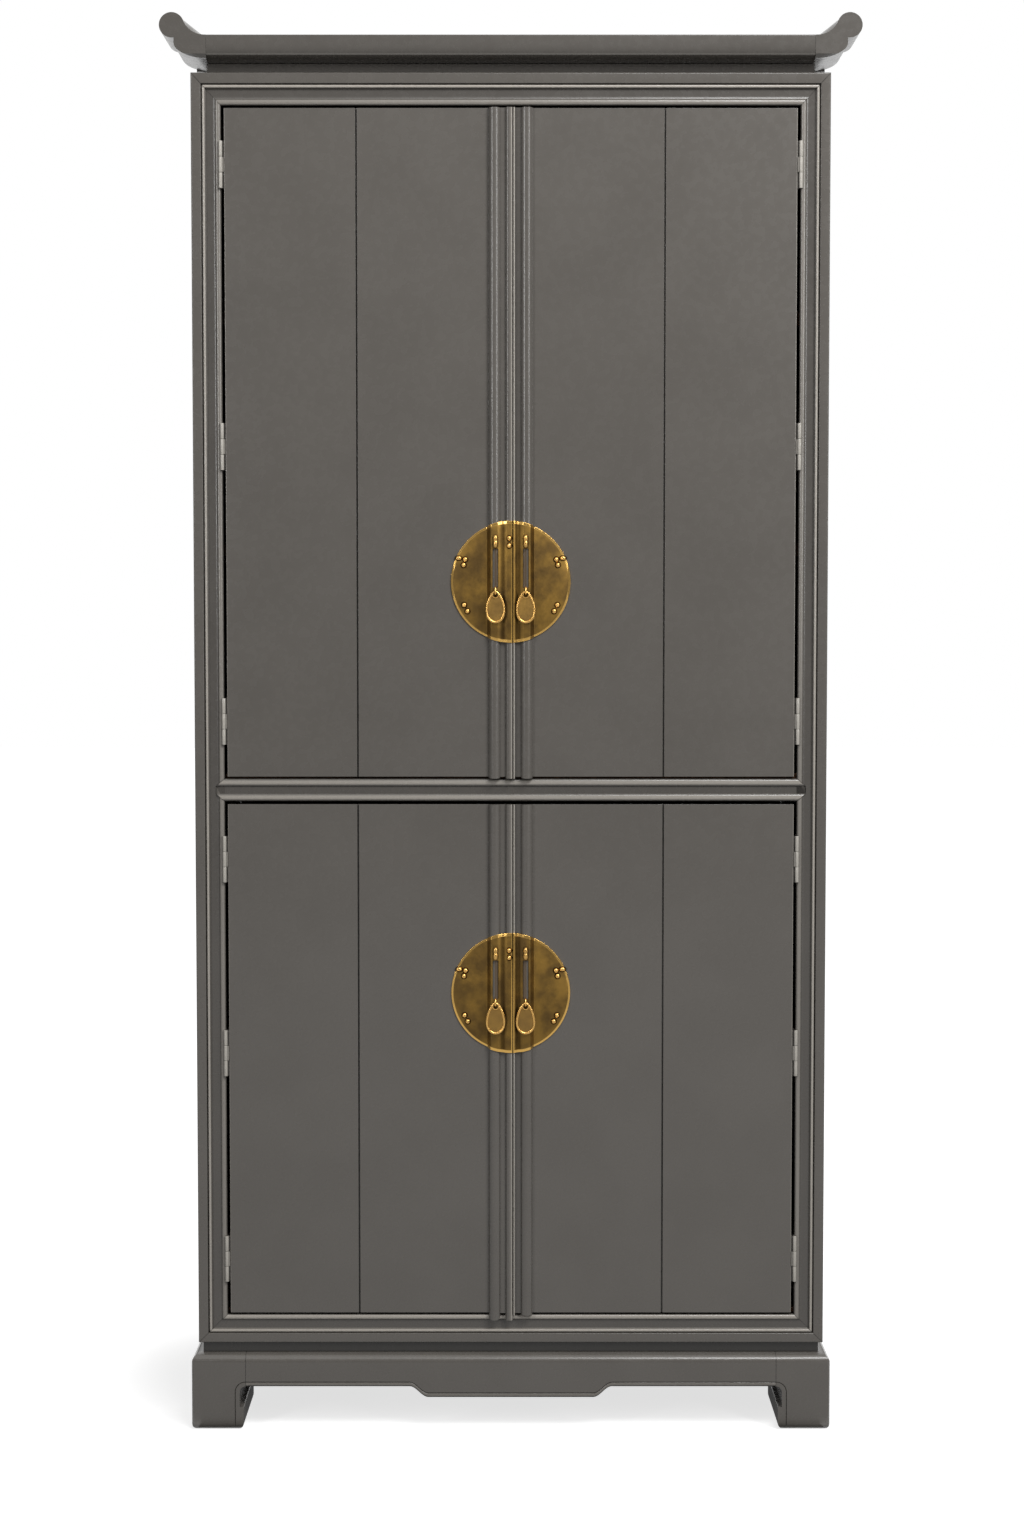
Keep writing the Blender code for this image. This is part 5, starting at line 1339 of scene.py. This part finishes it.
def drop_shell():
    """The teardrop's rings from the back, round the edge and over the rim, to the sunken face."""
    bend = np.linspace(0, np.pi, RIM_STATIONS)
    insets = DROP_RIM / 2 * (1 - np.cos(bend))
    depths = front + DROP_RIM / 2 - DROP_RIM / 2 * np.sin(bend)
    steps = [(inset, back - before) for inset, before in BACK_ROUND] + [*zip(insets, depths)]
    steps[-1] = (DROP_RIM, front + DROP_RECESS)
    return sweep([placed("Y", y, teardrop(inset)) for inset, y in steps])


def wire_shell(path):
    """A round wire along a path in the YZ plane: at each point a circle in the plane of X and the normal."""
    run = headings(path)
    turn = np.linspace(0, 2 * np.pi, WIRE_SIDES, endpoint=False)
    x, out = WIRE_RADIUS * np.cos(turn), WIRE_RADIUS * np.sin(turn)
    return sweep(columns(x, path[:, :1] - out * run[:, 1:], path[:, 1:] + out * run[:, :1]))


def drop_rub_patina_and_shade(points):
    """A drop's colour: rubbed bright on the rim, less on the sunken face, patina and painted shade at the
    back and in the hole.
    """
    proud = np.clip((DROP_RECESS + front - points[:, 1]) / RIM_RUB_RISE, 0, 1)
    behind = np.clip(points[:, 1] / back, 0, 1)
    from_hole = np.linalg.norm((points - hole_place)[:, (0, 2)], axis=1)
    outside = np.clip((from_hole - DROP_HOLE / 2) / HOLE_SHADE_REACH, 0, 1)
    return (DROP_FACE_RUB * (1 - behind) + (1 - FACE_CREST) * proud) * outside


hole = turned([(DROP_HOLE / 2, -HOLE_REACH), (DROP_HOLE / 2, HOLE_REACH)], hole_place, "Y", HOLE_SIDES)
outer, half = DROP_HOLE / 2 + DROP_COLLAR, DROP_COLLAR / 2
collar_edge = quarter((outer, front + half), (outer - half, front), True, EASE_STEPS)
collar = turned([(outer, DROP_THICKNESS / 4), *collar_edge], hole_place, "Y", HOLE_SIDES)
drop = carve(drop_shell(), ("UNION", collar), ("DIFFERENCE", hole))
bend_radius = math.hypot(DROP_BAR, DROP_THICKNESS) / 2 + SEAT + WIRE_RADIUS
for door in doors:
    top = door.drop + (0, 0, DROP_BAR / 2)
    make(f"{door.name}_teardrop", moved(drop, top), [f"{door.name}_drop"], cast_brass, door.handle,
         DROP_EASE, crest=lambda points: drop_rub_patina_and_shade(points - top))
    bend = arc(door.drop[1:], bend_radius, np.pi / 2, 3 * np.pi / 2, BEND_STEPS)
    bend[:, 1] += EYE_STRETCH * np.clip((bend[:, 1] - door.drop[2]) / bend_radius, 0, 1)
    eye_back = corners(f"{door.name}_eye")[1][1]
    path = np.concatenate([[(eye_back, bend[0, 1])], bend, [(eye_back, bend[-1, 1])]])
    eye = moved(wire_shell(path), (door.drop[0], 0, 0))
    make(f"{door.name}_wire_eye", eye, [f"{door.name}_eye"], cast_brass, door.leaf,
         crest=lambda points: np.ones(len(points)))
print("drops and eyes", len(doors))

# %% [markdown]
# ## Floor, cards and world
#
# The photograph is a cut-out on white with a soft shadow. The floor adds its own glow for the camera, so
# that the shadow stays pale; the glow is dimmed in an ellipse round the cabinet, which paints a pale shadow
# there, and beyond it the floor glows white. The world is white to the camera and to reflections and softer
# as a light. Grey cards behind the camera, at the sides, low in front and underneath, which only reflections
# see, keep the flats calm, the edges dark and the brass deep.

# %% Floor, cards and world
FLOOR_HALF, FLOOR_SHADOW_GLOW, FLOOR_PALE, FLOOR_DULL = 20.0, 0.72, "d0d0d0", "505050"
SHADOW_HALF_WIDTH, SHADOW_HALF_DEPTH, SHADOW_END = 0.52, 0.42, 1.5
CARD_Y, CARD_X, CARD_BACK, CARD_FOOT, CARD_TOP, CARD_GREY = -7.0, 5.0, 12.0, 0.05, 6.0, 0.2
LOW_CARD_Z, LOW_CARD_BACK, LOW_CARD_GREY, UNDER_CARD_GREY = 4 * MM, -0.27, 0.64, 0.1
AMBIENT = 0.15


def stage_card(name, points, paint_name):
    """A flat card with four corners, marked as part of the studio, with its paint's tree and output."""
    mesh = bpy.data.meshes.new(name)
    mesh.from_pydata(points.tolist(), [], [(0, 1, 2, 3)])
    card = new_object(name, mesh)
    card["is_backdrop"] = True
    paint = bpy.data.materials.new(paint_name)
    paint.use_nodes = True
    mesh.materials.append(paint)
    nodes = paint.node_tree.nodes
    nodes.remove(nodes["Principled BSDF"])
    return card, paint.node_tree, nodes["Material Output"]


def seen_directly(tree):
    """1 for camera, glossy and transmission rays, 0 for the rays that light the object."""
    rays = add(tree, "LightPath", {}).node.outputs
    seen = add(tree, "Math", {0: rays["Is Camera Ray"], 1: rays["Is Glossy Ray"]}, operation="MAXIMUM")
    return add(tree, "Math", {0: seen, 1: rays["Is Transmission Ray"]}, operation="MAXIMUM")


floor_points = placed("Z", 0, FLOOR_HALF * rectangle(-1, -1, 1, 1))
_, tree, output = stage_card("floor", floor_points, "pale_floor")
place, seen = add(tree, "TexCoord", {}, "Object"), seen_directly(tree)
shares = (1 / SHADOW_HALF_WIDTH, 1 / SHADOW_HALF_DEPTH, 0)
spread = add(tree, "VectorMath", {0: place, 1: shares}, operation="MULTIPLY")
away = add(tree, "VectorMath", {0: spread}, "Value", operation="LENGTH")
# A painted shadow: the glow is lowest inside the ellipse round the cabinet and white beyond it
glow = add(tree, "MapRange", {0: away, 1: 1.0, 2: SHADOW_END, 3: FLOOR_SHADOW_GLOW, 4: 1.0}, **SMOOTH)
glow = add(tree, "Math", {0: seen, 1: glow}, operation="MULTIPLY")
pale = add(tree, "Mix", {0: seen, 6: FLOOR_DULL, 7: FLOOR_PALE}, **COLOUR)
light, matt = add(tree, "Emission", {"Strength": glow}), add(tree, "BsdfDiffuse", {"Color": pale})
connect(tree, output, {"Surface": add(tree, "AddShader", {0: light, 1: matt})})

side_card = rectangle(CARD_Y, CARD_FOOT, CARD_BACK, CARD_TOP)
low_card = rectangle(-CARD_X, CARD_Y, CARD_X, LOW_CARD_BACK)
under_card = rectangle(-HALF_WIDTH, LOW_CARD_BACK, HALF_WIDTH, -LOW_CARD_BACK)
CARDS = {
    "front_card": (placed("Y", CARD_Y, rectangle(-CARD_X, CARD_FOOT, CARD_X, CARD_TOP)), CARD_GREY),
    "left_card": (placed("X", -CARD_X, side_card), CARD_GREY),
    "right_card": (placed("X", CARD_X, side_card), CARD_GREY),
    "low_card": (placed("Z", LOW_CARD_Z, low_card), LOW_CARD_GREY),
    "under_card": (placed("Z", LOW_CARD_Z, under_card), UNDER_CARD_GREY),
}
for name, (points, grey) in CARDS.items():
    card, tree, output = stage_card(name, points, f"grey_{name}")
    connect(tree, output, {"Surface": add(tree, "Emission", {"Strength": grey})})
    card.visible_camera = card.visible_diffuse = card.visible_shadow = card.visible_transmission = False

world = bpy.data.worlds.new("white_studio")
world.use_nodes = True
tree = world.node_tree
strength = add(tree, "MapRange", {0: seen_directly(tree), 3: AMBIENT, 4: 1.0}, **SMOOTH)
connect(tree, tree.nodes["Background"], {"Color": "ffffff", "Strength": strength})
bpy.context.scene.world = world
print("floor and", len(CARDS), "cards")

# %% [markdown]
# ## Light and camera
#
# Mouldings read by their highlights, so the lamps are strips, as in a furniture studio: a tall one on each
# side draws a line down every upright bead, and a long one overhead draws a line along every rail. The
# camera stands where the photograph's converging lines say.

# %% Light and camera
# Each lamp's place, the point that it faces, its width and height, and its power in watts
LAMPS = {
    "right_strip": ((2.6, -3.2, 2.4), (0, -0.2, 1.6), 0.5, 2.4, 42),
    "left_strip": ((-2.6, -3.2, 2.4), (0, -0.2, 1.6), 0.5, 2.4, 42),
    "overhead_strip": ((1.6, -2.9, 4.2), (0, -0.2, 1.5), 2.8, 1.4, 145),
}
CAMERA_PLACE, CAMERA_TILT = (0.0018, -4.192, 1.2091), 0.0572
SENSOR_WIDTH, FOCAL_LENGTH = 36, 63.45
for name, (place, aim, width, height, power) in LAMPS.items():
    lamp_data = bpy.data.lights.new(name, "AREA")
    lamp_data.shape, lamp_data.energy = "RECTANGLE", power
    lamp_data.size, lamp_data.size_y = width, height
    lamp = new_object(name, lamp_data)
    lamp.location = place
    direction = lamp.location.copy()
    direction.xyz = np.array(aim) - np.array(place)
    lamp.rotation_euler = direction.to_track_quat("-Z", "Y").to_euler()

camera_data = bpy.data.cameras.new("camera")
camera_data.sensor_width, camera_data.lens = SENSOR_WIDTH, FOCAL_LENGTH
camera = new_object("camera", camera_data)
camera.location = CAMERA_PLACE
camera.rotation_euler = (math.pi / 2 - CAMERA_TILT, 0, 0)
bpy.context.scene.camera = camera
bpy.context.scene.view_settings.view_transform = "Standard"
print("lamps", len(LAMPS))

# %% Sizes
low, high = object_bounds()
